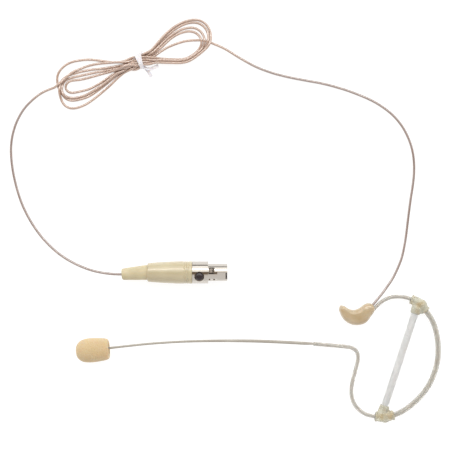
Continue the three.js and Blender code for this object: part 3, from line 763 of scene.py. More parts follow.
# %% Floor
def pale_floor():
    """A dull grey that glows white, with its roughness slightly mottled."""
    material = bpy.data.materials.new('pale_floor')
    material.use_nodes = True
    nodes, links = material.node_tree.nodes, material.node_tree.links
    nodes.clear()
    place = nodes.new('ShaderNodeTexCoord')
    place.label = 'place on the table'
    place.location = (-700, 0)
    mottle = nodes.new('ShaderNodeTexNoise')
    mottle.label = 'slight mottle'
    mottle.inputs['Scale'].default_value = 30
    mottle.location = (-500, 0)
    tone = nodes.new('ShaderNodeMapRange')
    tone.label = 'roughness of the table'
    tone.inputs['To Min'].default_value = 0.8
    tone.inputs['To Max'].default_value = 0.95
    tone.location = (-300, 0)
    surface = nodes.new('ShaderNodeBsdfPrincipled')
    surface.label = 'pale table'
    surface.inputs['Base Color'].default_value = (0.25, 0.25, 0.25, 1)
    surface.inputs['Specular IOR Level'].default_value = 0.1
    surface.inputs['Emission Color'].default_value = (1, 1, 1, 1)
    surface.inputs['Emission Strength'].default_value = 0.86
    surface.location = (-80, 0)
    output = nodes.new('ShaderNodeOutputMaterial')
    output.label = 'table'
    output.location = (200, 0)
    links.new(place.outputs['Object'], mottle.inputs['Vector'])
    links.new(mottle.outputs['Fac'], tone.inputs['Value'])
    links.new(tone.outputs['Result'], surface.inputs['Roughness'])
    links.new(surface.outputs['BSDF'], output.inputs['Surface'])
    return material


FLOOR_HALF = 1500
floor_corners = np.array([(-1, -1, 0), (1, -1, 0), (1, 1, 0), (-1, 1, 0)]) * FLOOR_HALF * MM
floor_mesh = bpy.data.meshes.new('floor')
floor_mesh.from_pydata(floor_corners.tolist(), [], [(0, 1, 2, 3)])
floor = bpy.data.objects.new('floor', floor_mesh)
floor.data.materials.append(pale_floor())
scene.collection.objects.link(floor)
print('floor', 2 * FLOOR_HALF, 'mm square')

# %% [markdown]
# ## Finish: clear silicone
#
# The sleeves, the strap and the clips are milky clear silicone. Light goes through them but is
# scattered, so the wires inside show softly. A transmissive shader with a fair roughness does that, and
# a faint streaking breaks the surface up.

# %% Clear silicone finish
def clear_silicone(name, tint, deep, through, roughness=0.3, streak=0.5):
    """tint and deep are its two shades, through is the share of light that passes, and streak is how
    many times a millimetre the haze comes and goes."""
    material = bpy.data.materials.new(name)
    material.use_nodes = True
    nodes, links = material.node_tree.nodes, material.node_tree.links
    nodes.clear()
    body_frame = nodes.new('NodeFrame')
    body_frame.label = 'milkiness'
    skin_frame = nodes.new('NodeFrame')
    skin_frame.label = 'skin'
    place = nodes.new('ShaderNodeTexCoord')
    place.label = 'place on the object'
    place.location = (-1000, 0)
    haze = nodes.new('ShaderNodeTexNoise')
    haze.label = 'haze'
    haze.inputs['Scale'].default_value = streak / MM
    haze.inputs['Detail'].default_value = 3
    haze.location = (-780, 160)
    haze.parent = body_frame
    amount = nodes.new('ShaderNodeMapRange')
    amount.label = 'where the haze gathers'
    amount.inputs['From Min'].default_value = 0.45
    amount.inputs['From Max'].default_value = 0.7
    amount.location = (-600, 160)
    amount.parent = body_frame
    tints = nodes.new('ShaderNodeMix')
    tints.data_type = 'RGBA'
    tints.label = 'two shades of haze'
    tints.inputs['A'].default_value = tint
    tints.inputs['B'].default_value = deep
    tints.location = (-420, 160)
    tints.parent = body_frame
    ripple = nodes.new('ShaderNodeTexNoise')
    ripple.label = 'moulding ripple'
    ripple.inputs['Scale'].default_value = 3 / MM
    ripple.location = (-780, -160)
    ripple.parent = skin_frame
    dull = nodes.new('ShaderNodeMapRange')
    dull.label = 'clearer and duller patches'
    dull.inputs['To Min'].default_value = roughness * 0.8
    dull.inputs['To Max'].default_value = roughness * 1.25
    dull.location = (-420, -100)
    dull.parent = skin_frame
    relief = nodes.new('ShaderNodeBump')
    relief.label = 'relief of the ripple'
    relief.inputs['Strength'].default_value = 0.15
    relief.inputs['Distance'].default_value = 0.05 * MM
    relief.location = (-420, -320)
    relief.parent = skin_frame
    surface = nodes.new('ShaderNodeBsdfPrincipled')
    surface.label = name
    surface.inputs['IOR'].default_value = 1.41
    surface.inputs['Transmission Weight'].default_value = through
    surface.inputs['Subsurface Weight'].default_value = 0.3
    surface.inputs['Subsurface Radius'].default_value = (1.0, 0.9, 0.8)
    surface.inputs['Subsurface Scale'].default_value = 1.0 * MM
    surface.location = (0, 80)
    output = nodes.new('ShaderNodeOutputMaterial')
    output.label = 'finish'
    output.location = (280, 80)
    links.new(place.outputs['Object'], haze.inputs['Vector'])
    links.new(haze.outputs['Fac'], amount.inputs['Value'])
    links.new(amount.outputs['Result'], tints.inputs['Factor'])
    links.new(tints.outputs['Result'], surface.inputs['Base Color'])
    links.new(place.outputs['Object'], ripple.inputs['Vector'])
    links.new(ripple.outputs['Fac'], dull.inputs['Value'])
    links.new(dull.outputs['Result'], surface.inputs['Roughness'])
    links.new(ripple.outputs['Fac'], relief.inputs['Height'])
    links.new(relief.outputs['Normal'], surface.inputs['Normal'])
    links.new(surface.outputs['BSDF'], output.inputs['Surface'])
    return material


sleeve_silicone = clear_silicone('sleeve_silicone', srgb(230, 229, 223), srgb(216, 212, 204), 0.62,
                                 roughness=0.2)
thin_silicone = clear_silicone('thin_sleeve_silicone', srgb(237, 235, 230), srgb(224, 220, 213), 0.6,
                               roughness=0.2)
strap_silicone = clear_silicone('strap_silicone', srgb(244, 245, 245), srgb(236, 237, 237), 0.68)
clip_silicone = clear_silicone('clip_silicone', srgb(231, 230, 215), srgb(223, 207, 172), 0.55,
                               roughness=0.25, streak=0.24)
print(sleeve_silicone.name, thin_silicone.name, strap_silicone.name, clip_silicone.name)

# %% [markdown]
# ## Finish: metals
#
# The shell is bright chrome, the contacts are gilded, and the memory wire and the capsule are bare steel.
# All are of one make-up: a metal colour, a roughness broken by handling marks, and hair-fine polishing
# lines.

# %% Metal finish
def metal(name, colour, roughness, lines=8.0, marks=0.5):
    """lines is how much finer the polishing is along X than round it, marks is smudges per millimetre."""
    material = bpy.data.materials.new(name)
    material.use_nodes = True
    nodes, links = material.node_tree.nodes, material.node_tree.links
    nodes.clear()
    wear_frame = nodes.new('NodeFrame')
    wear_frame.label = 'handling marks'
    polish_frame = nodes.new('NodeFrame')
    polish_frame.label = 'polishing lines'
    place = nodes.new('ShaderNodeTexCoord')
    place.label = 'place on the object'
    place.location = (-1000, 0)
    smudge = nodes.new('ShaderNodeTexNoise')
    smudge.label = 'smudges'
    smudge.inputs['Scale'].default_value = marks / MM
    smudge.inputs['Detail'].default_value = 5
    smudge.location = (-600, 160)
    smudge.parent = wear_frame
    gloss = nodes.new('ShaderNodeMapRange')
    gloss.label = 'bright and smudged'
    gloss.inputs['From Min'].default_value = 0.35
    gloss.inputs['From Max'].default_value = 0.75
    gloss.inputs['To Min'].default_value = roughness
    gloss.inputs['To Max'].default_value = roughness * 1.9
    gloss.location = (-380, 160)
    gloss.parent = wear_frame
    squeeze = nodes.new('ShaderNodeMapping')
    squeeze.label = 'lines round the turned part'
    squeeze.inputs['Scale'].default_value = (lines, 1, 1)
    squeeze.location = (-800, -160)
    squeeze.parent = polish_frame
    hairs = nodes.new('ShaderNodeTexNoise')
    hairs.label = 'hair-fine lines'
    hairs.inputs['Scale'].default_value = 1.2 / MM
    hairs.location = (-600, -160)
    hairs.parent = polish_frame
    relief = nodes.new('ShaderNodeBump')
    relief.label = 'depth of the lines'
    relief.inputs['Strength'].default_value = 0.06
    relief.inputs['Distance'].default_value = 0.02 * MM
    relief.location = (-380, -160)
    relief.parent = polish_frame
    surface = nodes.new('ShaderNodeBsdfPrincipled')
    surface.label = name
    surface.inputs['Base Color'].default_value = colour
    surface.inputs['Metallic'].default_value = 1
    surface.location = (-100, 0)
    output = nodes.new('ShaderNodeOutputMaterial')
    output.label = 'finish'
    output.location = (180, 0)
    links.new(place.outputs['Object'], smudge.inputs['Vector'])
    links.new(smudge.outputs['Fac'], gloss.inputs['Value'])
    links.new(gloss.outputs['Result'], surface.inputs['Roughness'])
    links.new(place.outputs['Object'], squeeze.inputs['Vector'])
    links.new(squeeze.outputs['Vector'], hairs.inputs['Vector'])
    links.new(hairs.outputs['Fac'], relief.inputs['Height'])
    links.new(relief.outputs['Normal'], surface.inputs['Normal'])
    links.new(surface.outputs['BSDF'], output.inputs['Surface'])
    return material


chrome = metal('shell_chrome', (0.62, 0.585, 0.54, 1), 0.07)
spring_steel = metal('spring_wire', (0.60, 0.59, 0.57, 1), 0.25)
gilding = metal('gold', (0.92, 0.70, 0.33, 1), 0.18)
capsule_steel = metal('capsule_metal', (0.62, 0.60, 0.57, 1), 0.28)
print(chrome.name, spring_steel.name, gilding.name, capsule_steel.name)

# %% [markdown]
# ## Ear hook
#
# The hook is a spring wire with the microphone's lead beside it, both inside three silicone sleeves of
# different thickness. All of them follow one path, so the path is made once and each piece takes its
# stretch of it.

# %% Path of the hook
HOOK_Z = 2.6
HOOK_POINTS = [
    (26.4, 6.93), (30.0, 6.6), (34.4, 6.2), (38.5, 5.85), (42.0, 5.5), (44.9, 4.9), (46.8, 3.5),
    (47.7, 1.2), (47.5, -1.6), (46.7, -4.8), (45.6, -8.9), (44.8, -12.5), (44.5, -16.0), (44.8, -18.8),
    (45.8, -21.6), (47.9, -24.4), (50.9, -26.6), (55.4, -27.8), (58.9, -28.0), (62.5, -27.7),
    (66.5, -26.6), (71.0, -24.1), (76.1, -19.8), (80.9, -14.0), (84.0, -7.7), (85.7, -1.6), (86.1, 5.3),
    (85.3, 12.0), (83.5, 17.5), (80.4, 22.4), (76.6, 26.3), (72.4, 28.6), (70.0, 29.2), (67.2, 29.5),
    (64.0, 29.3), (61.5, 28.5), (59.2, 27.2), (57.2, 25.5), (55.6, 23.9), (53.6, 22.1), (51.9, 20.9),
]
hook = spline(at_height(HOOK_POINTS, HOOK_Z), 0.5)
hook_run = lengths(hook)
STRAP_TOP = np.array((76.5, 26.2, HOOK_Z))
STRAP_BOTTOM = np.array((58.9, -27.9, HOOK_Z))
at_bottom = hook_run[np.argmin(np.linalg.norm(hook - STRAP_BOTTOM, axis=1))]
at_top = hook_run[np.argmin(np.linalg.norm(hook - STRAP_TOP, axis=1))]
print('hook', round(hook_run[-1]), 'mm, clips at', round(at_bottom), 'and', round(at_top))

# %% Sleeves, wire and lead
for name, start, end, outer, bore, silicone in (
    ('front_sleeve', 0.0, at_bottom - 2, 0.95, 0.62, thin_silicone),
    ('rear_sleeve', at_bottom + 2, at_top - 2, 1.3, 0.8, sleeve_silicone),
    ('top_sleeve', at_top + 2, hook_run[-1] - 2, 0.95, 0.6, thin_silicone),
):
    grid = hose(stretch_of(hook, start, end), outer, bore)
    add_piece(name + '_tube', skin(name + '_tube', [(grid, True)]), silicone, 'ear_hook',
              [name])
lead_insulation = moulded('lead_insulation', srgb(146, 112, 96), srgb(126, 94, 80), roughness=0.35,
                          cloud=0.8, grain=8, bump=0.1)
add_piece('memory_wire_bent', skin('memory_wire_bent', [(rings(hook, 0.22, 10, -0.26), False)]), spring_steel,
          'ear_hook', ['memory_wire'])
add_piece('hook_lead_run', skin('hook_lead_run', [(rings(hook, 0.18, 10, 0.26), False)]), lead_insulation,
          'ear_hook', ['hook_lead'])

# %% [markdown]
# ## Strap and its clips
#
# A clear tube runs straight across the ear from one side of the hook to the other. Each end sits in a
# moulded tee: a barrel on the hook, a stub for the strap, and soft lumps where they meet. A boolean union
# would meet in a hard line, so the solids are joined by a voxel remesh and then smoothed, which rounds
# the inside corners as a mould does. The bores are cut afterwards, so they stay true.

# %% Strap
down = (STRAP_BOTTOM - STRAP_TOP) / np.linalg.norm(STRAP_BOTTOM - STRAP_TOP)
strap_span = np.linalg.norm(STRAP_BOTTOM - STRAP_TOP)
STRAP_R, STRAP_BORE_R, STRAP_INSET = 1.7, 1.1, 2.6
strap_profile = soften([
    (STRAP_INSET, STRAP_BORE_R), (STRAP_INSET, STRAP_R), (strap_span - STRAP_INSET, STRAP_R),
    (strap_span - STRAP_INSET, STRAP_BORE_R),
], 0.15, closed=True)
strap = turned(strap_profile, STRAP_TOP, down, 40)
add_piece('strap', skin('strap', [(strap, True)]), strap_silicone, 'ear_hook',
          ['strap_tube'])


# %% Clips
def clip(name, middle, half, corner, inwards, stub_length, lumps):
    """The barrel on the hook swells to its middle and has a raised rim at each end. The stub for the
    strap swells out of it, and flattened balls fill the tee's outer shoulder and its inner corner."""
    along = stretch_of(hook, middle - half, middle + half)
    share = np.abs(np.linspace(-1, 1, len(along)))
    rim = np.exp(-((share - 0.92) / 0.08) ** 2)
    barrel = rings(along, 1.75 + 0.9 * (1 - share ** 2) + 0.7 * rim, 40)
    stub = turned(soften([(-2.2, 0), (-2.2, 2.0), (1.5, 2.5), (stub_length, 2.3), (stub_length, 0)], 0.5),
                  corner, inwards, 40)
    parts = [(barrel, False), (stub, False)]
    for x, y, radius in lumps:
        ball = turned([(radius * np.cos(a), radius * np.sin(a)) for a in np.linspace(np.pi, 0, 24)],
                      (x, y, HOOK_Z), inwards, 40)
        ball[..., 2] = HOOK_Z + (ball[..., 2] - HOOK_Z) * 0.8
        parts.append((ball, False))
    body = shape_with(name, skin(name, parts), [
        ('REMESH', {'mode': 'VOXEL', 'voxel_size': 0.2 * MM}),
        ('SMOOTH', {'factor': 0.6, 'iterations': 7}),
    ])
    path_bore = rings(stretch_of(hook, middle - 7, middle + 7), 1.34, 24)
    socket = turned([(STRAP_INSET, 0), (STRAP_INSET, 1.75), (9, 1.75), (9, 0)], corner, inwards, 24)
    tools = [skin('bore', [(path_bore, False)]), skin('socket', [(socket, False)])]
    return add_piece(name + '_moulding', cut(name + '_moulding', body, tools), clip_silicone,
                     'ear_hook', [name])


clip('lower_clip', at_bottom + 1.4, 4.6, STRAP_BOTTOM, -down, 5.6, [(60.6, -28.1, 2.8), (61.9, -26.0, 1.5)])
clip('upper_clip', at_top - 0.4, 4.7, STRAP_TOP, down, 5.2, [(78.0, 25.3, 2.9), (77.6, 23.0, 1.8)])

# %% [markdown]
# ## Ear rest
#
# The hook ends in a soft bean-shaped pad that lies against the head behind the ear. In plan it is a
# kidney, in section a cushion. Each point of its outline is joined to the nearest point of a spine, and
# the height rises from the rim to the spine by a rounded power curve, so the pad is full at its rim.

# %% Ear rest
BEAN = [
    (39.4, 25.4), (41.2, 25.0), (43.2, 23.7), (45.6, 23.2), (48.1, 24.0), (50.4, 25.7), (52.7, 26.5),
    (54.6, 25.8), (55.7, 23.4), (53.7, 20.0), (51.6, 17.3), (49.3, 16.2), (46.6, 15.9), (43.5, 16.6),
    (40.8, 18.6), (39.1, 21.4), (38.5, 23.8),
]
BEAN_SPINE = [
    (40.6, 23.4), (42.0, 21.0), (44.4, 19.6), (47.0, 19.5), (49.6, 20.6), (51.6, 22.6), (53.2, 24.0),
]
BEAN_MIDDLE, BEAN_HALF = 3.25, 3.2


def bean():
    """Outline point o, spine point s, t from 0 at the rim to 1 at the spine: plan = o + (s - o) * t,
    height = half * (1 - (1 - t)^2.4)^(1 / 2.4), up for the top face and down for the bottom."""
    closed = spline(BEAN[-3:] + BEAN + BEAN[:3], 0.2)
    start = np.argmin(np.linalg.norm(closed[:len(closed) // 3] - BEAN[0], axis=1))
    after = len(closed) // 2 + np.argmin(np.linalg.norm(closed[len(closed) // 2:] - BEAN[0], axis=1))
    outline = closed[start:after]
    spine = spline(BEAN_SPINE, 0.1)
    nearest = np.argmin(np.linalg.norm(outline[:, None] - spine[None], axis=2), axis=1).astype(float)
    for _ in range(60):
        nearest = (np.roll(nearest, 1) + 2 * nearest + np.roll(nearest, -1)) / 4
    steps = np.arange(len(spine))
    target = np.column_stack([np.interp(nearest, steps, spine[:, k]) for k in (0, 1)])
    t = (1 - np.cos(np.linspace(0, np.pi / 2, 22))) ** 1.3
    t = np.concatenate([-t[::-1], t[1:]])[:, None]
    plan = outline[None] + (target - outline)[None] * np.abs(t)[..., None]
    height = np.sign(t) * (1 - (1 - np.abs(t)) ** 2.4) ** (1 / 2.4) * BEAN_HALF
    return np.dstack([plan, np.broadcast_to(BEAN_MIDDLE + height, plan.shape[:2])])


# %% Pad
ear_silicone = moulded('ear_rest_silicone', srgb(196, 178, 149), srgb(184, 163, 127), roughness=0.35,
                       cloud=0.2, grain=4, bump=0.1, soft=0.3, coat=0.7, gloss=1.8)
pad = shape_with('ear_rest_pad', skin('ear_rest_pad', [(bean(), False)], 80), [
    ('REMESH', {'mode': 'VOXEL', 'voxel_size': 0.16 * MM}),
    ('SMOOTH', {'factor': 0.5, 'iterations': 8}),
], 80)
add_piece('ear_rest_pad', pad, ear_silicone, 'ear_hook', ['ear_rest'])

# %% [markdown]
# ## Boom
#
# The boom is a thin pliable tube that keeps the shape it is bent to. Two joints stand in for that: one
# where it leaves the front sleeve and one part way along. A tube that rode on one body would break at
# a joint. Here the tube and the lead inside it are made in two halves, split part way along, and each
# half is baked in place and rides on no body.

# %% Boom and the lead inside it
HEAD_TILT = np.radians(7)
HEAD_AXIS = np.array((-np.cos(HEAD_TILT), -np.sin(HEAD_TILT), 0))
HEAD_MOUTH = np.array((-71.4, 5.15, 5.9))
BOOM_POINTS = [
    (-62.4, 6.15, 5.72), (-54.7, 6.95, 5.5), (-47.0, 7.55, 5.28), (-39.4, 8.0, 5.05), (-31.7, 8.3, 4.8),
    (-24.0, 8.45, 4.55), (-16.3, 8.5, 4.3), (-8.6, 8.45, 4.05), (-1.0, 8.3, 3.78), (6.7, 8.0, 3.5),
    (14.4, 7.6, 3.2), (20.4, 7.25, 2.9), (26.1, 6.95, 2.6), (30.0, 6.6, 2.6),
]
boom = spline(np.vstack([HEAD_MOUTH + 1.8 * HEAD_AXIS, HEAD_MOUTH, BOOM_POINTS]), 0.5)
boom_skin = moulded('boom_skin', srgb(177, 173, 165), srgb(162, 156, 147), roughness=0.38, cloud=0.15,
                    grain=6, bump=0.1)
# The skin thickens towards the ear, and thins again just before it enters the front sleeve.
boom_radius = np.interp(boom[:, 0], (-36, -4, 22, 26), (0.54, 0.74, 0.76, 0.57))
SPLIT_X = -2
split = np.argmin(np.abs(boom[:, 0] - SPLIT_X))
front_half, rear_half = slice(None, split + 1), slice(split, None)
BOOM_JOINTS = (  # side, its points, then two bodies and a blend's start and end, which are not used
    ('front', front_half, ('boom_rear', 'boom_front'), (-7.0, 8.4, 4.0), (-27.5, 8.4, 4.7)),
    ('rear', rear_half, ('ear_hook', 'boom_rear'), (27.5, 6.9, 2.6), (15.0, 7.6, 3.2)),
)
for side, half, bodies, start, end in BOOM_JOINTS:
    for node, grid, loop, finish, slot in (
        ('boom_tube_', hose(boom[half], boom_radius[half], 0.35, 20), True, boom_skin, 'boom_skin'),
        ('boom_lead_', rings(boom[half], 0.18, 10), False, lead_insulation, 'lead_insulation'),
    ):
        name = node + side + '_bent'
        piece = add_piece(name, skin(name, [(grid, loop)]), finish, None, [node + side])
        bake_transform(piece)

# %% [markdown]
# ## Windscreen
#
# A foam cap covers the capsule. It is cut and pressed from open-cell foam: soft shoulders, a squarer end
# where the boom goes in, and a skin full of fine pores. The body is a profile turned round the
# capsule's axis, and the pores are real dents: a few thousand seeded points on it, each pushing the
# surface in by a small bell curve.

# %% Foam finish
def foam(name, colour, deep):
    """colour and deep are the two tones of the dye, and the cells get painted shade inside."""
    material = bpy.data.materials.new(name)
    material.use_nodes = True
    nodes, links = material.node_tree.nodes, material.node_tree.links
    nodes.clear()
    cell_frame = nodes.new('NodeFrame')
    cell_frame.label = 'open cells'
    tone_frame = nodes.new('NodeFrame')
    tone_frame.label = 'dye'
    place = nodes.new('ShaderNodeTexCoord')
    place.label = 'place on the foam'
    place.location = (-1100, 0)
    cells = nodes.new('ShaderNodeTexVoronoi')
    cells.label = 'cells'
    cells.feature = 'SMOOTH_F1'
    cells.inputs['Scale'].default_value = 3.2 / MM
    cells.location = (-860, -120)
    cells.parent = cell_frame
    mouths = nodes.new('ShaderNodeMapRange')
    mouths.label = 'open mouths of the cells'
    mouths.inputs['From Min'].default_value = 0.05
    mouths.inputs['From Max'].default_value = 0.5
    mouths.location = (-640, -120)
    mouths.parent = cell_frame
    relief = nodes.new('ShaderNodeBump')
    relief.label = 'depth of the cells'
    relief.inputs['Strength'].default_value = 0.5
    relief.inputs['Distance'].default_value = 0.12 * MM
    relief.location = (-420, -300)
    relief.parent = cell_frame
    dye = nodes.new('ShaderNodeTexNoise')
    dye.label = 'uneven dye'
    dye.inputs['Scale'].default_value = 0.3 / MM
    dye.inputs['Detail'].default_value = 2
    dye.location = (-860, 220)
    dye.parent = tone_frame
    tones = nodes.new('ShaderNodeMix')
    tones.data_type = 'RGBA'
    tones.label = 'two tones of dye'
    tones.inputs['A'].default_value = colour
    tones.inputs['B'].default_value = deep
    tones.location = (-640, 220)
    tones.parent = tone_frame
    # Painted shade: the colour darkens towards the middle of each cell, as shade in a pore.
    hollow = nodes.new('ShaderNodeMix')
    hollow.data_type = 'RGBA'
    hollow.label = 'painted shade inside the cells'
    hollow.inputs['A'].default_value = srgb(205, 172, 124)
    hollow.location = (-420, 100)
    hollow.parent = tone_frame
    surface = nodes.new('ShaderNodeBsdfPrincipled')
    surface.label = name
    surface.inputs['Roughness'].default_value = 0.95
    surface.inputs['Specular IOR Level'].default_value = 0.15
    surface.inputs['Subsurface Weight'].default_value = 0.45
    surface.inputs['Subsurface Radius'].default_value = (1.0, 0.6, 0.3)
    surface.inputs['Subsurface Scale'].default_value = 1.6 * MM
    surface.inputs['Sheen Weight'].default_value = 0.25
    surface.inputs['Sheen Roughness'].default_value = 0.5
    surface.location = (-120, 60)
    output = nodes.new('ShaderNodeOutputMaterial')
    output.label = 'finish'
    output.location = (160, 60)
    links.new(place.outputs['Object'], cells.inputs['Vector'])
    links.new(cells.outputs['Distance'], mouths.inputs['Value'])
    links.new(mouths.outputs['Result'], relief.inputs['Height'])
    links.new(place.outputs['Object'], dye.inputs['Vector'])
    links.new(dye.outputs['Fac'], tones.inputs['Factor'])
    links.new(tones.outputs['Result'], hollow.inputs['B'])
    links.new(mouths.outputs['Result'], hollow.inputs['Factor'])
    links.new(hollow.outputs['Result'], surface.inputs['Base Color'])
    links.new(relief.outputs['Normal'], surface.inputs['Normal'])
    links.new(surface.outputs['BSDF'], output.inputs['Surface'])
    return material


# %% Windscreen
PORES = 2600
FOAM_OUTSIDE = [
    (0.0, 4.0), (0.35, 4.6), (1.2, 5.05), (3.5, 5.45), (6.5, 5.72), (9.4, 5.75), (11.5, 5.5), (13.3, 4.9),
    (14.6, 3.9), (15.5, 2.4), (15.9, 0.0),
]
FOAM_TILT = HEAD_TILT - np.radians(3)  # the foam is pulled on a little askew
FOAM_AXIS = np.array((-np.cos(FOAM_TILT), -np.sin(FOAM_TILT), 0))
GRIPPED_AT = 8  # how far in the capsule grips it
SET_BACK = 0.1
FOAM_MOUTH = HEAD_MOUTH + (GRIPPED_AT - SET_BACK) * HEAD_AXIS - GRIPPED_AT * FOAM_AXIS
FOAM_SIDES = 220


def windscreen():
    """The outside is a smooth curve through the profile, turned. Each pore pushes the points near it in
    by depth * exp(-(distance / size)^2), the deepest pore winning where two meet."""
    rng = np.random.default_rng(7)
    outside = spline(FOAM_OUTSIDE, 0.115)
    outside[:, 1] = np.maximum(outside[:, 1], 0)
    outside[-1, 1] = 0
    grid = turned(outside, FOAM_MOUTH, FOAM_AXIS, FOAM_SIDES)
    middle = FOAM_MOUTH + FOAM_AXIS * outside[:, :1] * 0.9 + FOAM_AXIS * 0.5
    outwards = grid - middle[:, None]
    outwards /= np.linalg.norm(outwards, axis=2, keepdims=True)
    area = np.repeat(outside[:, 1] + 0.05, FOAM_SIDES)
    flat = grid.reshape(-1, 3)
    pores = flat[rng.choice(len(flat), PORES, replace=False, p=area / area.sum())]
    pores = pores + rng.normal(0, 0.05, pores.shape)
    size = rng.uniform(0.14, 0.3, PORES)
    depth = size * rng.uniform(0.35, 0.6, PORES)
    dent = np.zeros(len(flat))
    for chunk in np.array_split(np.arange(len(flat)), 24):
        away = np.linalg.norm(flat[chunk, None] - pores[None], axis=2)
        dent[chunk] = (depth * np.exp(-(away / size) ** 2)).max(axis=1)
    dent = dent.reshape(grid.shape[:2])
    dent[-3:] = dent[-3:].mean()
    dented = grid - outwards * dent[..., None]
    bore = soften([(0.0, 4.0), (0.0, 2.95), (11.2, 2.95), (11.2, 0.0)], 0.5)
    bore = turned(bore, FOAM_MOUTH, FOAM_AXIS, FOAM_SIDES)
    return np.concatenate([bore[::-1], dented[1:]])


windscreen_foam = foam('foam', srgb(212, 194, 161), srgb(204, 184, 148))
windscreen_piece = add_piece('windscreen_foam', skin('windscreen_foam', [(windscreen(), False)], 70),
                             windscreen_foam, 'windscreen', ['windscreen'])

# %% [markdown]
# ## Capsule
#
# Under the foam sits the capsule: a thin turned can with a rolled front edge, a perforated grille at its
# tip and a small neck that holds the boom. It is seen only when the windscreen is pulled off. The
# parts inside the can keep their CAD shapes.

# %% Capsule
NECK = soften([(0.5, 0.85), (0.5, 1.1), (1.3, 1.35), (1.9, 2.1), (2.6, 2.4), (2.6, 0.85)], 0.12, closed=True)
CAN = soften([
    (2.9, 2.0), (2.9, 2.4), (3.3, 2.4), (3.45, 2.3), (3.6, 2.4), (9.3, 2.4), (9.6, 2.25), (9.6, 2.0),
], 0.08, closed=True)
for name, profile in (('capsule_neck', NECK), ('capsule_housing', CAN)):
    add_piece(name + '_turned', skin(name + '_turned', [(turned(profile, HEAD_MOUTH, HEAD_AXIS), True)]),
              capsule_steel, 'boom_front', [name])
side_axis = np.cross(UP, HEAD_AXIS)
holes = [(0.0, 0.0)] + [(1.35 * np.cos(a), 1.35 * np.sin(a)) for a in np.radians(np.arange(0, 360, 60))]
plate_profile = soften([(9.9, 0), (9.9, 2.4), (10.4, 2.25), (10.4, 0)], 0.1)
plate = skin('capsule_grille_plate', [(turned(plate_profile, HEAD_MOUTH, HEAD_AXIS), False)])
drill_profile = [(9.5, 0), (9.5, 0.35), (10.8, 0.35), (10.8, 0)]
drills = [turned(drill_profile, HEAD_MOUTH + y * side_axis + z * UP, HEAD_AXIS, 20) for y, z in holes]
drills = [skin('drill', [(drill, False)]) for drill in drills]
add_piece('capsule_grille_plate', cut('capsule_grille_plate', plate, drills), capsule_steel,
          'boom_front', ['capsule_grille'])

# %% [markdown]
# ## Connector: boot and handle
#
# The cable ends in a miniature three-pin connector. Its soft boot tapers towards the cable and sits
# slightly askew in the handle. The hard handle swells towards the shell, with a few fine grip grooves at
# the front. Both are turned profiles with their corners softened as a mould leaves them.

# %% Boot and handle
PLUG = np.array((0, 41.2, 5.4))
boot_rubber = moulded('boot_rubber', srgb(208, 199, 168), srgb(197, 185, 152), roughness=0.5, cloud=0.25,
                      grain=5, bump=0.15, soft=0.3)
handle_plastic = moulded('handle_plastic', srgb(200, 190, 160), srgb(189, 177, 146), roughness=0.28,
                         cloud=0.12, grain=5, bump=0.05, soft=0.12, coat=0.6, gloss=1.7)
BOOT_FRONT = -53.3
BOOT_DROOP = np.radians(4.3)
BOOT_AXIS = (np.cos(BOOT_DROOP), np.sin(BOOT_DROOP), 0)
boot_profile = soften([
    (-12.0, 0.85), (-12.0, 2.3), (-11.3, 2.75), (-5.7, 3.2), (0.35, 3.58), (0.35, 2.6), (2.3, 2.6),
    (2.3, 0.85),
], (0.2, 0.8, 0.6, 2.0, 0.1, 0.1, 0.1, 0.1), 6, closed=True)
handle_profile = [(-53.0, 3.2), (-53.0, 4.15), (-52.6, 4.5), (-47.0, 4.95), (-41.0, 5.25), (-38.0, 5.35)]
softness = [0.1, 0.3, 0.4, 2.0, 1.5, 1.0]
for groove in (-35.6, -34.7, -33.8):
    handle_profile += [(groove, 5.35), (groove + 0.12, 5.17), (groove + 0.38, 5.17), (groove + 0.5, 5.35)]
    softness += [0.06] * 4
handle_profile += [(-31.7, 5.35), (-31.7, 4.6), (-37.0, 4.6), (-37.0, 3.6), (-50.0, 3.6), (-50.0, 3.2)]
softness += [0.3] + [0.1] * 5
handle_profile = soften(handle_profile, softness, closed=True)
boot_grid = turned(boot_profile, PLUG + (BOOT_FRONT, 0, 0), BOOT_AXIS)
boot = add_piece('boot', skin('boot', [(boot_grid, True)]), boot_rubber, 'ear_hook',
                 ['strain_relief_boot'])
handle = add_piece('handle', skin('handle', [(turned(handle_profile, PLUG), True)]), handle_plastic,
                   'ear_hook', ['connector_handle'])

# %% [markdown]
# ## Connector: shell
#
# The shell is one turned and plated tube: a wide collar, then a narrower nose. It is pierced for the
# latch: a round hole for the button, a window for the latch's tooth, a keyway milled into the nose and
# two small notches beside the window. The holes are cut with exact booleans from the same places as
# the CAD ones, with rounded corners.

# %% Shell
def rounded_window(x0, y0, x1, y1, radius=0.25):
    """A rectangle in plan between two corners, each corner a short parabola."""
    return soften([(x0, y0), (x1, y0), (x1, y1), (x0, y1)], radius, closed=True)


def leaned(grid, degrees):
    """Turned about the connector's own axis, along X: y and z become y cos a - z sin a, y sin a + z cos a."""
    a = np.radians(degrees)
    y, z = grid[..., 1].copy(), grid[..., 2].copy()
    grid[..., 1], grid[..., 2] = y * np.cos(a) - z * np.sin(a), y * np.sin(a) + z * np.cos(a)
    return grid


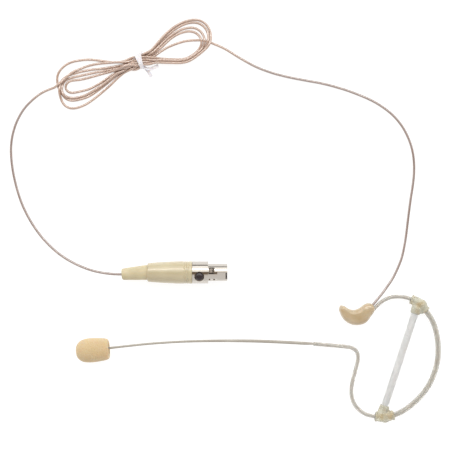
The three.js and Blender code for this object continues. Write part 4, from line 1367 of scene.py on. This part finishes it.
shell_profile = soften([
    (-36.6, 3.75), (-36.6, 4.3), (-31.65, 4.3), (-31.65, 5.3), (-24.0, 5.3), (-24.0, 4.13), (-14.9, 4.13),
    (-14.9, 3.3), (-24.0, 3.3), (-24.0, 3.75),
], (0.1, 0.1, 0.05, 0.22, 0.22, 0.08, 0.22, 0.12, 0.05, 0.05), closed=True)
shell_blank = skin('connector_shell_plated', [(turned(shell_profile, PLUG, sides=128), True)])
button_hole = turned([(2.2, 0), (2.2, 2.35), (7.2, 2.35), (7.2, 0)], (-28.2, -1.75, 0), (0, 0, 1), 48)
cutters = [
    button_hole,
    block((-37, -2.7, 0), (-24.3, 2.2, 3.05)),
    block((-24.5, -0.5, 0), (-19.8, 2.2, 3.05)),
    column(rounded_window(-23.7, -0.6, -21.0, 2.4), 2, 5),
    leaned(block((-19.7, -2.1, 3.6), (-14, 2.1, 5)), 25),
    leaned(block((-15.75, -1.6, 2.8), (-14, 1.6, 5)), 25),
    column(rounded_window(-23.8, -3.8, -23.0, -2.95, 0.15), 2, 3.4),
    column(rounded_window(-21.6, -3.8, -20.8, -2.95, 0.15), 2, 3.4),
]
cutters = [skin('cutter', [(cutter + PLUG, False)]) for cutter in cutters]
shell_mesh = cut('connector_shell_plated', shell_blank, cutters)
shell = add_piece('connector_shell_plated', shell_mesh, chrome, 'ear_hook',
                  ['connector_shell'])

# %% [markdown]
# ## Connector: insert, contacts and latch
#
# Looking into the nose there is a black insert with three gilded sockets, and a key that fills the bottom
# of the nose's keyway. A sprung steel lever lies on top of it: its tooth shows in the window, and its
# black button stands in the round hole.

# %% Insert and contacts
black_plastic = moulded('black_plastic', srgb(52, 40, 46), srgb(36, 28, 32), roughness=0.35, cloud=0.3,
                        bump=0.08, coat=0.15)
CONTACTS = ((-1.6, -0.3), (1.6, -0.3), (0.0, -1.75))
insert_blank = turned(soften([(-34.5, 0), (-34.5, 3.0), (-15.5, 3.0), (-15.5, 0)], 0.12), PLUG, sides=96)
drill = [(-35, 0), (-35, 0.9), (-15, 0.9), (-15, 0)]
tools = [turned(drill, PLUG + (0, y, z), sides=28) for y, z in CONTACTS]
tools.append(block((-35, -4, 0.75), (-19.4, 4, 4)) + PLUG)
key = leaned(block((-15.48, -1.5, 2.7), (-15.0, 1.5, 3.8)), 25) + PLUG
insert_mesh = cut('insert', skin('insert', [(insert_blank, False), (key, False)]),
                  [skin('drill', [(t, False)]) for t in tools])
insert = add_piece('insert', insert_mesh, black_plastic, 'ear_hook', ['contact_insert'])
contact_profile = soften([
    (-33.5, 0), (-33.5, 0.7), (-16.2, 0.7), (-16.0, 0.55), (-16.3, 0.42), (-21, 0.42), (-21, 0),
], 0.05)
for number, (y, z) in enumerate(CONTACTS, 1):
    name = f'contact_{number}_turned'
    grid = turned(contact_profile, PLUG + (0, y, z), sides=24)
    add_piece(name, skin(name, [(grid, False)]), gilding, 'ear_hook', [f'contact_{number}'])

# %% Latch
lever_outline = soften([
    (-34.2, -2.3), (-25, -2.3), (-25, -0.2), (-20.6, -0.2), (-20.6, 1.9), (-34.2, 1.9),
], 0.2, closed=True)
tooth_outline = soften([(-23.3, 2.5), (-21.4, 2.5), (-22.1, 4.35), (-23.3, 4.35)], 0.18, closed=True)
tooth = np.stack([np.column_stack([tooth_outline[:, 0], np.full(len(tooth_outline), y), tooth_outline[:, 1]])
                  for y in (0.1, 1.7)])
lever = column(lever_outline, 2.3, 2.65)
latch_steel = metal('latch_steel', (0.70, 0.66, 0.62, 1), 0.22)
add_piece('latch_lever_pressed', skin('latch_lever_pressed', [(lever + PLUG, False), (tooth + PLUG, False)]),
          latch_steel, 'latch', ['latch_lever'])
button_profile = soften([
    (2.95, 0), (2.95, 1.95), (4.9, 1.95), (5.3, 1.75), (5.62, 1.2), (5.74, 0.6), (5.78, 0),
], (0.1, 0.1, 0.2, 0.25, 0.3, 0.3, 0.1))
button = turned(button_profile, PLUG + (-28.2, -1.75, 0), (0, 0, 1), 56)
add_piece('latch_button_cap', skin('latch_button_cap', [(button, False)]), black_plastic,
          'latch', ['latch_button'])

# %% [markdown]
# ## Parts that keep their CAD shape
#
# What is hidden inside keeps the frame's own meshes and only gets its finish.

# %% Finishes on CAD parts
board_green = moulded('circuit_board', srgb(52, 96, 62), srgb(38, 78, 50), cloud=0.8, grain=9, bump=0.1)
white_plastic = moulded('white_plastic', srgb(232, 228, 218), srgb(220, 215, 203), roughness=0.45,
                        cloud=0.3, grain=5, bump=0.1)
core_rubber = moulded('core_insulation', srgb(176, 98, 74), srgb(150, 78, 60), roughness=0.35, cloud=0.8,
                      grain=8, bump=0.1)
for node, finish in {
    'impedance_board': board_green, 'electret_backplate': gilding, 'electret_diaphragm': capsule_steel,
    'splice_core': white_plastic, 'cable_chuck': black_plastic, 'core_1': core_rubber,
    'core_2': core_rubber, 'core_3': core_rubber,
}.items():
    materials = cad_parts[node].data.materials
    materials.clear()
    materials.append(finish)
print('finished the hidden parts')
